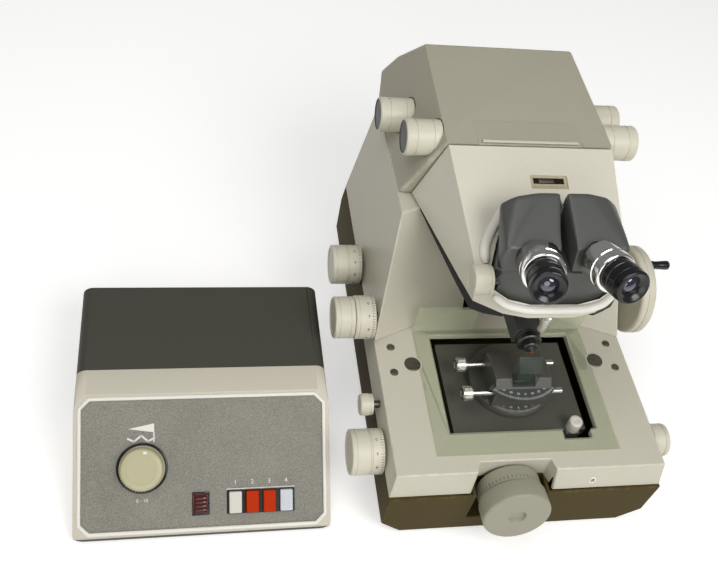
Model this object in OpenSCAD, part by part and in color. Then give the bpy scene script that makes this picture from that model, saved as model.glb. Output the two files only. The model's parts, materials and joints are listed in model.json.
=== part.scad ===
// Ultramicrotome with its control unit, millimetres, +X right, +Y back, +Z up.
// The origin is on the bench, under the middle of the microtome's base.

/* [Base] */
// Width of the base at its widest
base_w = 298; // [290:1:320]
// Depth of the base
base_d = 430; // [425:1:460]
// Height of the dark plinth above its feet
plinth_h = 73; // [68:1:85]
// Width of the chamfer along the plinth's lower sides
plinth_cut_w = 23; // [12:1:30]
// Height of that chamfer
plinth_cut_h = 21; // [12:1:30]
// Thickness of the plinth's floor
floor_t = 8; // [5:0.5:12]
// Wall of the cast covers
wall = 4; // [3:0.5:5]
// Height of a rubber foot
foot_h = 4; // [3:0.5:8]
// Diameter of a rubber foot
foot_d = 34; // [20:1:40]

/* [Deck] */
// Height of the deck housing above the plinth
deck_h = 31; // [28:1:40]
// Thickness of the deck plate
deck_t = 8; // [6:0.5:10]
// Distance that the fascia stands behind the plinth's front
fascia_inset = 3; // [0:0.5:6]
// Run of the sloping fascia
fascia_slope = 8; // [2:1:12]
// Depth of the deck housing, from the base's front
deck_d = 220; // [214:1:226]
// Width of the stage opening
opening_w = 164; // [160:1:170]
// Depth of the stage opening
opening_d = 127; // [125:1:135]
// Distance from the base's front to the stage opening
opening_front = 56; // [52:1:60]
// Diameter of a deck plug
plug_d = 18; // [12:1:22]
// Diameter of a deck screw head
screw_d = 9; // [6:0.5:12]

/* [Tower] */
// Height of the tower above the deck
tower_h = 126; // [122:1:136]
// Inward lean of each deck side over the deck's height
deck_draft = 3.5; // [1:0.5:6]
// Inward lean of each side over the tower's height
side_draft = 20; // [12:1:24]
// Distance from the base's front to the foot of the tower's front edge
tower_front = 175; // [172:1:180]
// Backward lean of the front walls, in degrees
front_lean = 28; // [24:1:30]
// Inward turn of the front walls, in degrees
front_splay = 21; // [12:1:24]
// Width of the opening between the front walls
recess_w = 66; // [60:1:72]

/* [Hood] */
// Distance from the base's front to the hood's front
hood_front = 272; // [270:1:276]
// Height of the hood at its front
hood_h = 80; // [76:1:86]
// Rise of the hood's top towards the back
hood_rise = 7; // [0:1:12]
// Lean of the seam between the hood and the microscope arm
seam_lean = 9; // [0:1:12]
// Overhang of the hood behind the tower
hood_overhang = 45; // [30:1:50]
// Forward slope of the hood's rounded back, over its height
hood_back_slope = 44; // [30:1:48]
// Width of the hood's flat top, at its front
hood_top_w = 180; // [174:1:190]
// Width of the lid in the hood's top
lid_w = 114; // [90:1:130]
// Depth of that lid
lid_d = 36; // [25:1:45]
// Thickness of that lid
lid_t = 2; // [1.5:0.5:2.5]

/* [Microscope arm] */
// Gap between the arm and the tower under it
arm_gap = 4; // [2:0.5:5]
// Gap between the arm and the hood behind it
seam_gap = 2.5; // [2:0.5:4]
// Width of the arm's underside at the hood
arm_root_w = 222; // [214:1:226]
// Width of the arm's flat top
arm_top_w = 178; // [170:1:184]
// Width of the arm at its front lip
arm_lip_w = 140; // [136:1:146]
// Length of the arm's flat top
arm_flat = 110; // [105:1:114]
// Length of the arm to its front lip
arm_l = 160; // [158:1:164]
// Height of the front lip
lip_h = 14; // [10:1:18]
// Wall of the arm around the microscope
arm_wall = 6; // [5:0.5:8]
// Diameter of the arm's hinge pin
pin_d = 10; // [8:0.5:12]

/* [Microscope] */
// Width of both prism housings together, at their widest
head_w = 132; // [126:1:134]
// Width of both prism housings at the top
head_top_w = 104; // [96:1:110]
// Height of the prism housings
head_h = 90; // [84:1:96]
// Diameter of an eyepiece
eyepiece_d = 35; // [30:1:37]
// Length of an eyepiece outside its collar
eyepiece_l = 27; // [22:1:34]
// Distance between the eyepiece centres at the eye lenses
eye_spacing = 80; // [76:1:84]
// Upward tilt of the eyepieces, in degrees
eye_tilt = 20; // [16:1:24]
// Outward turn of each eyepiece, in degrees
eye_turn = 11; // [8:1:13]
// Diameter of the objective
objective_d = 48; // [44:1:52]
// Diameter of a magnification knob
zoom_knob_d = 29; // [24:1:32]

/* [Knobs] */
// Diameter of the focus and tilt knobs on the hood
hood_knob_d = 38; // [34:1:40]
// Length of those knobs
hood_knob_l = 38; // [34:1:42]
// Diameter of the stage's side knobs
stage_knob_d = 48; // [44:1:50]
// Length of the stage's side knobs
stage_knob_l = 34; // [30:1:40]
// Diameter of the paired feed knobs
feed_knob_d = 48; // [44:1:50]
// Length of each feed knob
feed_knob_l = 22; // [20:1:26]
// Diameter of the upper left knob
window_knob_d = 46; // [42:1:50]
// Diameter of the front knob
front_knob_d = 72; // [66:1:74]
// Length of each of the front knob's two rings
front_knob_l = 22; // [20:1:24]
// Upward tilt of the front knob, in degrees
front_knob_tilt = 10; // [6:1:12]
// Sideways place of the front knob
front_knob_x = -18; // [-24:1:0]
// Diameter of the knob shafts
shaft_d = 10; // [8:0.5:12]
// Radial running clearance of the shafts
run_gap = 0.05; // [0.03:0.01:0.08]
// Rounding of the knobs' edges
knob_edge = 2; // [1:0.5:3]

/* [Handwheel] */
// Diameter of the handwheel
wheel_d = 105; // [95:1:110]
// Thickness of the handwheel's rim
wheel_t = 18; // [14:1:24]
// Distance of the handle from the wheel's axis
handle_r = 42; // [36:1:44]
// Diameter of the handle's grip
grip_d = 11; // [9:0.5:14]
// Length of the handle's grip
grip_l = 25; // [20:1:35]
// Radius of the handwheel's pulley
pulley_r = 8; // [7:0.5:9]
// Radius of the crank's pulley
crank_pulley_r = 16; // [14:0.5:18]
// Thickness of the drive belt
belt_t = 2; // [1.5:0.5:2.5]

/* [Stage] */
// Width of the stage's top slide
stage_w = 148; // [140:1:149]
// Depth of the stage's top slide
stage_d = 115; // [108:1:116]
// Thickness of the top slide
stage_t = 14; // [12:1:16]
// Thickness of the saddle under it
saddle_t = 18; // [14:1:20]
// Gap between the sliding faces
slide_gap = 0.1; // [0.05:0.05:0.2]
// Radius of the knife turntable
turntable_r = 46; // [42:1:50]
// Thickness of the turntable
turntable_t = 10; // [8:1:12]
// Width of the knife holder
holder_w = 62; // [56:1:66]
// Width of the knife
knife_w = 25; // [20:1:28]
// Diameter of the clamp screws' heads
clamp_d = 15; // [12:1:17]

/* [Control unit] */
// Width of the control unit
unit_w = 262; // [250:1:264]
// Depth of the control unit
unit_d = 258; // [250:1:270]
// Height of the control unit
unit_h = 90; // [88:1:100]
// Height of the front lip under the panel
unit_lip = 8; // [7:1:12]
// Slope of the panel, in degrees
panel_slope = 35; // [33:1:37]
// Length of the grey panel, along its slope
panel_l = 133; // [120:1:135]
// Width of the bezel's side margins
bezel_m = 7; // [6:1:14]
// Distance between the control unit and the microtome's base
unit_gap = 51; // [50:1:70]
// Diameter of the speed knob
speed_knob_d = 46; // [40:1:50]
// Height of the speed knob
speed_knob_h = 16; // [12:1:20]
// Width of a push button
button_w = 13; // [11:0.5:16]
// Length of a push button
button_l = 22; // [18:0.5:24]
// Height of a push button above the panel
button_h = 5; // [4:0.5:7]

/* [Hidden] */
$fn = 64;
cream = "#cfc8b6";
warm_grey = "#b4ad9b";
olive = "#57503a";
slate = "#66635f";
charcoal = "#4b4b43";
bright_steel = "#c4c6c8";
black = "#1c1c1c";

// Levels and depths that the pieces share
big = 700;
eps = 0.01;
base_front = -base_d / 2;
base_back = base_d / 2;
seam_z = foot_h + plinth_h;
floor_z = foot_h + floor_t;
deck_z = seam_z + deck_h;
tower_z = deck_z + tower_h;
deck_x = base_w / 2 - deck_draft;
deck_back = base_front + deck_d;
hood_y = base_front + hood_front;
opening_y0 = base_front + opening_front;
opening_y1 = opening_y0 + opening_d;
opening_mid = (opening_y0 + opening_y1) / 2;
tower_y = base_front + tower_front;
// Half width of the deck's band, and of the tower above it
function deck_side(z) = base_w / 2 - deck_draft * (z - seam_z) / deck_h;
function side_x(z) = deck_x - side_draft * (z - deck_z) / tower_h;
plinth_step = deck_z - deck_t;

// Hood facets, and the wells that its knobs stand in
hood_slope = (side_x(tower_z) - hood_top_w / 2) / hood_h;
function facet_x(z) = side_x(tower_z) - hood_slope * (z - tower_z);
well_gap = 1;
well_d = hood_knob_d + 2 * well_gap;
focus_y = hood_y + 29;
focus_z = tower_z + 62;
focus_x = facet_x(focus_z) + 30;
tilt_y = hood_y + 98;
tilt_z = tower_z + 34;
tilt_x = facet_x(tilt_z) + 30;

// Microscope arm
arm_z = tower_z + arm_gap;
arm_back = hood_y - seam_gap;
arm_flat_y = arm_back - arm_flat;
arm_lip_y = arm_back - arm_l;
arm_brow_y = (arm_flat_y + arm_lip_y) / 2 - 5;
arm_flat_w = arm_top_w - 18;
arm_brow_w = arm_top_w - 24;
arm_back_z = tower_z + hood_h;
arm_fall = 34;
arm_flat_z = arm_back_z - arm_fall;
arm_brow_z = arm_flat_z - 13;
function arm_top(y) = arm_back_z - arm_fall * (arm_back - y) / arm_flat;
lip_z = arm_z + lip_h;
pocket_z = arm_z + 6;
pocket_back = arm_flat_y + 36;
arm_pin_y = hood_y + 26;
arm_pin_z = arm_back_z - 38;
ear_x = 56;
ear_t = 9;

// Prism housings and eyepieces
head_z = pocket_z + 2;
head_front = arm_lip_y + arm_wall + 3;
head_back = pocket_back - 12;
prism_x = head_w / 4;
prism_pivot_y = head_back - 12;
eye_y = arm_lip_y - 38;
eye_z = head_z + 80;
stem_d = 28;

// Knob axes on the sides and the front
cross_y = base_front + 57;
right_knob_d = 36;
right_knob_l = 23;
clamp_y = opening_mid - 15;
clamp_z = deck_z - deck_t - 7;
feed_y = tower_y + 22;
feed_z = deck_z + 17;
window_y = hood_y + 15;
window_z = deck_z + 2;
knob_gap = 1;
front_depth = 20;
front_room = front_knob_d / 2 + 2.5;
front_z = seam_z - 2;
front_y = base_front - 24;
front_shaft_d = shaft_d + 2;
fine_shaft_d = shaft_d - 3;

// Drive
wheel_y = tower_y + 63;
wheel_z = deck_z + 14;
wheel_x = base_w / 2 + 17;
drive_d = shaft_d + 2;
crank_y = hood_y + 50;
crank_z = deck_z + 32;
belt_x = side_x(wheel_z) - wall - 16;
belt_w = 8;
handle_angle = 88;
spindle_d = 6;
arm_pivot_y = hood_y + 90;
arm_pivot_z = deck_z + 70;
cheek_x = ear_x + ear_t + 1;
cheek_t = 8;

// Knife stage, stacked from the deck down and from the top slide up
stage_z = deck_z - deck_t - 1;
saddle_z = stage_z - stage_t - slide_gap;
bed_z = saddle_z - saddle_t - slide_gap;
turntable_z = stage_z + slide_gap + turntable_t;
turntable_y = opening_mid + 4;
holder_z = turntable_z + 34;
holder_d = 52;
holder_y = turntable_y - 10;
knife_y = turntable_y - 24;
clamp_rows = [-18, 18];
clamp_screw_z = turntable_z + 15;
clamp_screw_d = 7;
knife_z = clamp_screw_z + clamp_screw_d / 2 + 1.5;
lock_x = 58;
lock_y = opening_mid - stage_d / 2 + 1;
lug_half = 8;
lock_knob_h = 16;

// Control unit: places along its sloping panel
unit_x = -base_w / 2 - unit_gap - unit_w / 2;
unit_front = base_front + 8;
unit_r = 12;
unit_wall = 3;
unit_z = foot_h;
slope_l = (unit_h - unit_lip) / sin(panel_slope);
crest_y = unit_front + slope_l * cos(panel_slope);
unit_back = unit_front + unit_d;
panel_w = unit_w - 2 * bezel_m;
panel_t = 2;
panel_s0 = 4;
panel_cut = 9;
panel_mid = panel_s0 + panel_l / 2;
knob_u = -unit_w / 2 + 68;
knob_s = 67;
button_pitch = 17.6;
button_u0 = 31.3;
button_s = 28.5;
button_play = 0.2;
button_travel = 3;
lamp_u = -4;
lamp_w = 14;
lamp_l = 20;
buttons = [0, 1, 2, 3];
button_tints = ["#e6e2d6", "#d2561f", "#d2561f", "#dfe3ea"];

// Box between two corners
module block(a, b) translate(a) cube(b - a);

// Solid of a side view, points in y and z, between two places along x
module side_view(points, x0, x1)
    translate([x0, 0, 0]) rotate([90, 0, 90]) linear_extrude(x1 - x0) polygon(points);

// Solid of a front view, points in x and z, between two places along y
module front_view(points, y0, y1)
    translate([0, y1, 0]) rotate([90, 0, 0]) linear_extrude(y1 - y0) polygon(points);

// Round bar along x
module cross_bar(d, x0, x1, y, z) translate([x0, y, z]) rotate([0, 90, 0]) cylinder(d = d, h = x1 - x0);

// Turned ring with bevelled edges, from z = 0 up
module turned(d, h, bore = 0, edge = knob_edge)
    rotate_extrude()
        polygon([[bore / 2, 0], [d / 2 - edge, 0], [d / 2, edge], [d / 2, h - edge], [d / 2 - edge, h],
                 [bore / 2, h]]);

// Lays a turned piece along x, facing away from the middle on its own side
module facing_out(side, x, y, z) translate([side * x, y, z]) rotate([0, side * 90, 0]) children();

// Places on the sloping panel: u across, s up the slope, and height off the panel
module on_panel(u, s, h = 0)
    translate([unit_x, unit_front, unit_z + unit_lip]) rotate([panel_slope, 0, 0]) translate([u, s, h]) children();

// Front knob's own axis, from its face inwards
module on_front_axis(depth)
    translate([front_knob_x, front_y, front_z]) rotate([-90 - front_knob_tilt, 0, 0])
        translate([0, 0, depth]) children();

// Eyepiece axis, from the eye lens inwards, on one side
module on_eye_axis(side, depth)
    translate([side * eye_spacing / 2, eye_y, eye_z]) rotate([0, 0, side * eye_turn])
        rotate([-90 - eye_tilt, 0, 0]) translate([0, 0, depth]) children();

// Front-view section of the plinth, drawn in by a wall
module plinth_section(inset, z0, z1, y0, y1) {
    half = base_w / 2 - inset;
    foot_half = half - plinth_cut_w;
    cut_z = z0 + plinth_cut_h;
    front_view([[-foot_half, z0], [foot_half, z0], [half, cut_z], [half, z1], [-half, z1], [-half, cut_z]], y0, y1);
}

// Pocket in the front wall that the front knob stands in
pocket_y = base_front + fascia_inset + front_depth;
module front_pocket_block(z0, z1)
    block([front_knob_x - front_room - wall, base_front + wall - eps, z0],
          [front_knob_x + front_room + wall, pocket_y + wall, z1]);
module front_shaft_bore() on_front_axis(0) cylinder(d = front_shaft_d + 2 * run_gap, h = 90);
module cross_bore()
    cross_bar(shaft_d + 2 * run_gap, -big, big, cross_y, seam_z);

// The plinth stands higher behind the deck, where it carries the tower
module plinth_step_block(inset, y0, y1) {
    low = base_w / 2 - inset;
    high = deck_side(plinth_step) - inset;
    top = plinth_step + sign(inset);
    front_view([[-low, seam_z - eps], [low, seam_z - eps], [high, top], [-high, top]], y0, y1);
}

module base_plinth() color(olive) difference() {
    union() {
        difference() {
            union() {
                plinth_section(0, foot_h, seam_z, base_front, base_back);
                plinth_step_block(0, deck_back, base_back);
            }
            plinth_section(wall, floor_z, seam_z + 1, base_front + wall, base_back - wall);
            plinth_step_block(wall, deck_back - 1, base_back - wall);
        }
        front_pocket_block(floor_z - eps, seam_z);
    }
    block([front_knob_x - front_room, base_front - 1, front_z - front_room - 8],
          [front_knob_x + front_room, pocket_y, seam_z + 1]);
    front_shaft_bore();
    cross_bore();
}

foot_x = base_w / 2 - plinth_cut_w - foot_d / 2 - 6;
foot_y = base_d / 2 - foot_d / 2 - 14;
unit_foot_d = foot_d / 2;
unit_foot_x = unit_w / 2 - unit_foot_d / 2 - 12;
module rubber_feet() color(black) {
    for (x = [-foot_x, foot_x], y = [-foot_y, foot_y]) translate([x, y, 0]) turned(foot_d, foot_h, edge = 1);
    turned(foot_d, foot_h, edge = 1);
    for (x = [-unit_foot_x, unit_foot_x], y = [unit_front + 30, unit_back - 30])
        translate([unit_x + x, y, 0]) turned(unit_foot_d, foot_h, edge = 1);
}

// Deck: a plate with skirts, its front sloping and its sides leaning with the tower's
module deck_block(inset, z1, y1) {
    low = base_w / 2 - inset;
    high = deck_side(z1) - inset;
    front = base_front + fascia_inset + inset;
    intersection() {
        front_view([[-low, seam_z], [low, seam_z], [high, z1], [-high, z1]], base_front, y1);
        side_view([[front, seam_z - 1], [front + fascia_slope * (z1 - seam_z) / deck_h, z1 + eps], [y1, z1 + eps],
                   [y1, seam_z - 1]], -big / 2, big / 2);
    }
}

fascia_hole_x = 68;
tray_half = opening_w / 2 + 18;
plug_out = 7;
plug_spots = [[tray_half + plug_out, opening_mid + 25, plug_d], [base_w / 2 - 20, opening_mid + 15, screw_d],
              [base_w / 2 - 21, opening_mid + 48, screw_d]];
plug_depth = 3;
// Notch beside the stage opening, round the turntable's lock knob
module lock_notch(z) block([lock_x - 16, opening_y0 - 11, z], [lock_x + 16, opening_y0 + 1, deck_z + tray_t + 1]);

module deck_housing() color(cream) difference() {
    union() {
        difference() {
            deck_block(0, deck_z, deck_back);
            translate([0, 0, -eps]) deck_block(wall, deck_z - deck_t, deck_back + 1);
        }
        intersection() {
            front_pocket_block(seam_z, deck_z);
            deck_block(0, deck_z, deck_back);
        }
    }
    // Scalloped room for the front knob, wider towards the front
    translate([front_knob_x, pocket_y, seam_z - 1]) linear_extrude(deck_h + 2)
        polygon([[-front_room, 0], [front_room, 0], [front_room + 8, -front_depth - 5],
                 [-front_room - 8, -front_depth - 5]]);
    block([-opening_w / 2, opening_y0, seam_z], [opening_w / 2, opening_y1, deck_z + 1]);
    lock_notch(deck_z - deck_t - 1);
    cross_bore();
    cross_bar(shaft_d - 2 + 2 * run_gap, -big, 0, clamp_y, clamp_z);
    translate([fascia_hole_x, base_front, seam_z + 12]) rotate([-90, 0, 0]) cylinder(d = 5, h = 30);
    for (side = [-1, 1], p = plug_spots)
        translate([side * p.x, p.y, deck_z - plug_depth]) cylinder(d = p.z + 0.2, h = plug_depth + 1);
}

module deck_plugs() color(bright_steel)
    for (side = [-1, 1], p = plug_spots) translate([side * p.x, p.y, deck_z - plug_depth]) difference() {
        turned(p.z, plug_depth + 1, edge = 0.6);
        translate([-p.z, -0.6, plug_depth]) cube([2 * p.z, 1.2, 2]);
    }

// Tower: the room inside two leaning sides, two splayed leaning front walls and a back
module tower_room(inset, z0, z1, y0 = base_front) intersection() {
    front_view([[-side_x(z0) + inset, z0], [side_x(z0) - inset, z0], [side_x(z1) - inset, z1],
                [-side_x(z1) + inset, z1]], y0, base_back - inset);
    translate([0, tower_y + inset / cos(front_lean), deck_z]) rotate([-front_lean, 0, 0])
        translate([0, 0, -big / 2]) linear_extrude(big) polygon([
            [-base_w, 0], [-side_x(deck_z), 0], [0, side_x(deck_z) * tan(front_splay)], [side_x(deck_z), 0],
            [base_w, 0], [base_w, big], [-base_w, big]]);
}

module hood_wells(d, extra) {
    for (side = [-1, 1]) {
        facing_out(side, focus_x - hood_knob_l - extra, focus_y, focus_z) cylinder(d = d, h = big / 8);
        facing_out(side, tilt_x - hood_knob_l - extra, tilt_y, tilt_z) cylinder(d = d, h = big / 8);
    }
}

cover_margin = 8;
arm_room = 8;
cover_lap = 5;
cover_t = 3;
cover_half = side_x(tower_z) - wall - cover_margin;
module tower_shell() color(cream) difference() {
    tower_room(0, plinth_step, tower_z);
    // Room inside, roofed over in front of the hood
    tower_room(wall, plinth_step - 1, tower_z - wall);
    tower_room(wall, plinth_step, tower_z + 1, hood_y + seam_lean + wall);
    // The front part stands on the deck
    block([-big, -big, 0], [big, deck_back, deck_z]);
    // Opening for the specimen arm
    block([-recess_w / 2, -big, plinth_step - 1], [recess_w / 2, hood_y, tower_z + 1]);
    block([-recess_w / 2, hood_y - 1, plinth_step - 1], [recess_w / 2, frame_front, bar_z0 + bar_h + arm_room]);
    block([-cover_half + cover_lap, base_back - wall - 1, plinth_step + cover_margin + cover_lap],
          [cover_half - cover_lap, base_back + 1, tower_z - cover_margin - cover_lap]);
    cross_bar(drive_d + 2 * run_gap, belt_x, big, wheel_y, wheel_z);
    cross_bar(drive_d + 2 * run_gap, -big, -feed_inner + 3, feed_y, feed_z);
    cross_bar(shaft_d + 2 * run_gap, -big, -belt_x, window_y, window_z);
}

vent_n = 7;
module rear_cover() color(cream) difference() {
    block([-cover_half, base_back, plinth_step + cover_margin],
          [cover_half, base_back + cover_t, tower_z - cover_margin]);
    for (i = [0 : vent_n - 1]) translate([0, base_back - 1, tower_z - cover_margin - 22 - 9 * i])
        rotate([-90, 0, 0]) linear_extrude(cover_t + 2) square([70, 4], center = true);
}

hood_back = base_back + hood_overhang;
hood_lap = 8;
module hood_block(inset) {
    foot_z = tower_z - sign(inset);
    crown_z = tower_z + hood_h + hood_rise + 20;
    half = side_x(tower_z) - inset;
    intersection() {
        front_view([[-half, foot_z], [half, foot_z], [half, tower_z], [facet_x(crown_z) - inset, crown_z],
                    [-facet_x(crown_z) + inset, crown_z], [-half, tower_z]], hood_y, hood_back);
        side_view([[hood_y + seam_lean + inset, foot_z], [hood_y + inset, tower_z + hood_h - inset],
                   [hood_back - hood_back_slope - inset, tower_z + hood_h + hood_rise - inset],
                   [hood_back - hood_back_slope / 4 - inset, tower_z + hood_h * 0.56],
                   [hood_back - inset, tower_z + hood_h * 0.19], [base_back + hood_lap - inset, foot_z]],
                  -big / 2, big / 2);
    }
}

// Room inside the hood, with a floor where it overhangs the tower
module hood_room() intersection() {
    hood_block(wall);
    union() {
        block([-big, -big, 0], [big, base_back - wall, big]);
        block([-big, -big, tower_z + wall], [big, big, big]);
    }
}

module lid_band(gap) intersection() {
    difference() {
        hood_block(0);
        translate([0, 0, -lid_t]) hood_block(0);
    }
    block([-lid_w / 2 - gap, hood_y - 1, tower_z + hood_h - lid_t - eps], [lid_w / 2 + gap, hood_y + lid_d + gap, big]);
}

module hood() color(warm_grey) difference() {
    union() {
        difference() {
            hood_block(0);
            hood_room();
        }
        intersection() {
            hood_block(0);
            hood_wells(well_d + 2 * wall, well_gap + wall);
        }
    }
    hood_wells(well_d, well_gap);
    cross_bar(shaft_d + 2 * run_gap, -big, big, focus_y, focus_z);
    cross_bar(shaft_d + 2 * run_gap, -big, big, tilt_y, tilt_z);
    lid_band(0.2);
    // Slots in the front wall for the microscope arm's hinge ears
    for (x = [-ear_x - ear_t - 2, ear_x - 2])
        block([x, hood_y - 1, arm_pin_z - 15], [x + ear_t + 4, arm_pin_y, arm_pin_z + 13]);
}

module hood_lid() color(warm_grey) lid_band(0);

// Cast frame inside the tower: two cheeks, a foot and a back web
frame_front = hood_y + seam_lean + wall + 3;
frame_lap = 28;
frame_back = arm_pivot_y + frame_lap;
frame_foot = 8;
cheek_nose = 14;
module main_frame() color(slate) difference() {
    union() {
        for (x = [-cheek_x - cheek_t, cheek_x])
            side_view([[frame_front, floor_z], [frame_front, arm_pin_z + 8], [arm_pin_y + cheek_nose, arm_pin_z + 8],
                       [frame_back, arm_pivot_z + 30], [frame_back, floor_z]], x, x + cheek_t);
        block([-cheek_x - eps, frame_front, floor_z], [cheek_x + eps, frame_back, floor_z + frame_foot]);
        block([-cheek_x - eps, frame_back - frame_foot, floor_z], [cheek_x + eps, frame_back, crank_z]);
    }
    cross_bar(pin_d, -big, big, arm_pin_y, arm_pin_z);
    cross_bar(pin_d, -big, big, arm_pivot_y, arm_pivot_z);
    cross_bar(drive_d + 2 * run_gap, -big, big, crank_y, crank_z);
}

module pivot_pins() color(bright_steel) {
    cross_bar(pin_d, -cheek_x - cheek_t, cheek_x + cheek_t, arm_pin_y, arm_pin_z);
    cross_bar(pin_d, -cheek_x - cheek_t, cheek_x + cheek_t, arm_pivot_y, arm_pivot_z);
}

// Clear tray round the stage, with a splash guard standing at its back
tray_t = 2;
tray_front = opening_y0 - 25;
tray_back = tower_y + 15;
guard_h = 42;
guard_gap_w = recess_w - 6;
module drip_tray() color([0.72, 0.8, 0.66, 0.6]) difference() {
    union() {
        block([-tray_half, tray_front, deck_z], [tray_half, tray_back, deck_z + tray_t]);
        block([-tray_half, tray_back - tray_t, deck_z], [tray_half, tray_back, deck_z + guard_h]);
    }
    block([-opening_w / 2, opening_y0, deck_z - 1], [opening_w / 2, opening_y1 - 4, deck_z + tray_t + 1]);
    lock_notch(deck_z - 1);
    block([-guard_gap_w / 2, tray_back - tray_t - 1, deck_z + tray_t], [guard_gap_w / 2, tray_back + 1, big]);
    for (side = [-1, 1]) translate([side * plug_spots[0].x, plug_spots[0].y, deck_z - 1])
        cylinder(d = plug_d + 4, h = tray_t + 2);
}

bed_half = 52;
bed_way_w = 60;
bed_l = 80;
bed_way_h = 10;
module stage_bed() color(slate) {
    block([-bed_half, opening_mid - bed_l / 2, floor_z], [bed_half, opening_mid + bed_l / 2, bed_z - bed_way_h]);
    block([-bed_way_w / 2, opening_mid - bed_l / 2, bed_z - bed_way_h - eps],
          [bed_way_w / 2, opening_mid + bed_l / 2, bed_z]);
}

motor_d = 56;
motor_x = cheek_x + cheek_t + 3;
motor_y = frame_back + 5;
motor_gap = 22;
motor_nose = 6;
motor_l = base_w / 2 - motor_gap - motor_nose - motor_x;
motor_z = floor_z + motor_d / 2 + 3;
motor_foot_h = 12;
motor_foot_half = 20;
motor_foot_in = 4;
module drive_motor() color(black) {
    cross_bar(motor_d, motor_x, motor_x + motor_l, motor_y, motor_z);
    cross_bar(motor_d / 2, motor_x + motor_l - eps, motor_x + motor_l + motor_nose, motor_y, motor_z);
    block([motor_x + motor_foot_in, motor_y - motor_foot_half, floor_z],
          [motor_x + motor_l - motor_foot_in, motor_y + motor_foot_half, floor_z + motor_foot_h]);
}

module belt_loop(extra, w)
    translate([belt_x - w / 2, 0, 0]) rotate([90, 0, 90]) linear_extrude(w) hull() {
        translate([wheel_y, wheel_z]) circle(r = pulley_r + extra);
        translate([crank_y, crank_z]) circle(r = crank_pulley_r + extra);
    }
belt_room = 0.05;
module drive_belt() color(black) difference() {
    belt_loop(belt_room + belt_t, belt_w);
    belt_loop(belt_room, belt_w + 2);
}

// Handwheel with its shaft, inner pulley and handle spindle
handle_y = wheel_y + handle_r * cos(handle_angle);
handle_z = wheel_z + handle_r * sin(handle_angle);
web_t = 8;
module handwheel() color(cream) {
    facing_out(1, wheel_x, wheel_y, wheel_z) difference() {
        turned(wheel_d, wheel_t);
        translate([0, 0, web_t]) cylinder(d = wheel_d - 16, h = wheel_t);
        translate([0, 0, -1]) cylinder(d = drive_d, h = wheel_t);
    }
    cross_bar(drive_d, belt_x - belt_w, wheel_x + web_t + 2, wheel_y, wheel_z);
    cross_bar(2 * pulley_r, belt_x - belt_w / 2, belt_x + belt_w / 2, wheel_y, wheel_z);
    cross_bar(drive_d + 10, wheel_x + web_t - eps, wheel_x + web_t + 8, wheel_y, wheel_z);
    cross_bar(grip_d, wheel_x + web_t - eps, wheel_x + wheel_t, handle_y, handle_z);
    cross_bar(spindle_d, wheel_x + wheel_t - eps, wheel_x + wheel_t + grip_l - 4, handle_y, handle_z);
}

module handle_grip() color(black)
    facing_out(1, wheel_x + wheel_t + 0.3, handle_y, handle_z) difference() {
        turned(grip_d, grip_l);
        translate([0, 0, -1]) cylinder(d = spindle_d + 2 * run_gap, h = grip_l - 3);
    }

cam_r = 20;
cam_throw = 4;
cam_w = 24;
module crank_shaft() color(bright_steel) {
    cross_bar(drive_d, -cheek_x - cheek_t - 3, belt_x + belt_w, crank_y, crank_z);
    cross_bar(2 * crank_pulley_r, belt_x - belt_w / 2, belt_x + belt_w / 2, crank_y, crank_z);
    cross_bar(2 * cam_r, -cam_w / 2, cam_w / 2, crank_y - cam_throw, crank_z);
}

// Specimen arm, rocking on its pin at the back
bar_half = 14;
bar_h = 22;
bar_z0 = crank_z + cam_r + cam_throw + 3;
arm_tip_y = turntable_y + 6;
hub_d = 34;
module specimen_arm() color(slate) difference() {
    union() {
        block([-bar_half, arm_tip_y, bar_z0], [bar_half, arm_pivot_y, bar_z0 + bar_h]);
        cross_bar(hub_d, -cheek_x + 1, cheek_x - 1, arm_pivot_y, arm_pivot_z);
    }
    cross_bar(pin_d + 2 * run_gap, -big, big, arm_pivot_y, arm_pivot_z);
}

chuck_z = bar_z0 + bar_h / 2;
module specimen_chuck() color(bright_steel) translate([0, arm_tip_y, chuck_z]) rotate([90, 0, 0]) {
    turned(26, 10, edge = 1.5);
    translate([0, 0, 10 - eps]) turned(15, 6, edge = 1);
    translate([0, 0, 16 - 2 * eps]) cylinder(d1 = 7, d2 = 3, h = 5);
}

// Microscope arm: a tapering nose with a pocket that the microscope stands in
module arm_section(y, top_w, top_z, low_w, low_z)
    translate([0, y, 0]) rotate([90, 0, 0]) linear_extrude(eps)
        polygon([[-low_w / 2, low_z], [low_w / 2, low_z], [top_w / 2, top_z], [-top_w / 2, top_z]]);

lip_round = 14;
rim_t = 4;
arm_taper = (arm_root_w - arm_lip_w) / arm_l;
function arm_low_w(y) = arm_root_w - arm_taper * (arm_back - y);
module arm_bar(y, w, z) translate([-w / 2, y, z]) cube([w, eps, eps]);
module arm_block() hull() {
    arm_bar(arm_back, arm_top_w, arm_back_z - eps);
    arm_bar(arm_back + seam_lean * (arm_back_z - arm_z) / hood_h, arm_root_w, arm_z);
    arm_section(arm_flat_y, arm_flat_w, arm_flat_z, arm_low_w(arm_flat_y), arm_z);
    arm_section(arm_brow_y, arm_brow_w, arm_brow_z, arm_low_w(arm_brow_y), arm_z);
    arm_section(arm_lip_y + lip_round, arm_lip_w - 8, lip_z + 7, arm_lip_w - 14, arm_z);
    arm_section(arm_lip_y + lip_round / 4, arm_lip_w - 40, lip_z + 2, arm_lip_w - 44, arm_z);
    arm_section(arm_lip_y - lip_round / 6, arm_lip_w - 88, lip_z - 1, arm_lip_w - 92, arm_z);
}

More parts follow.
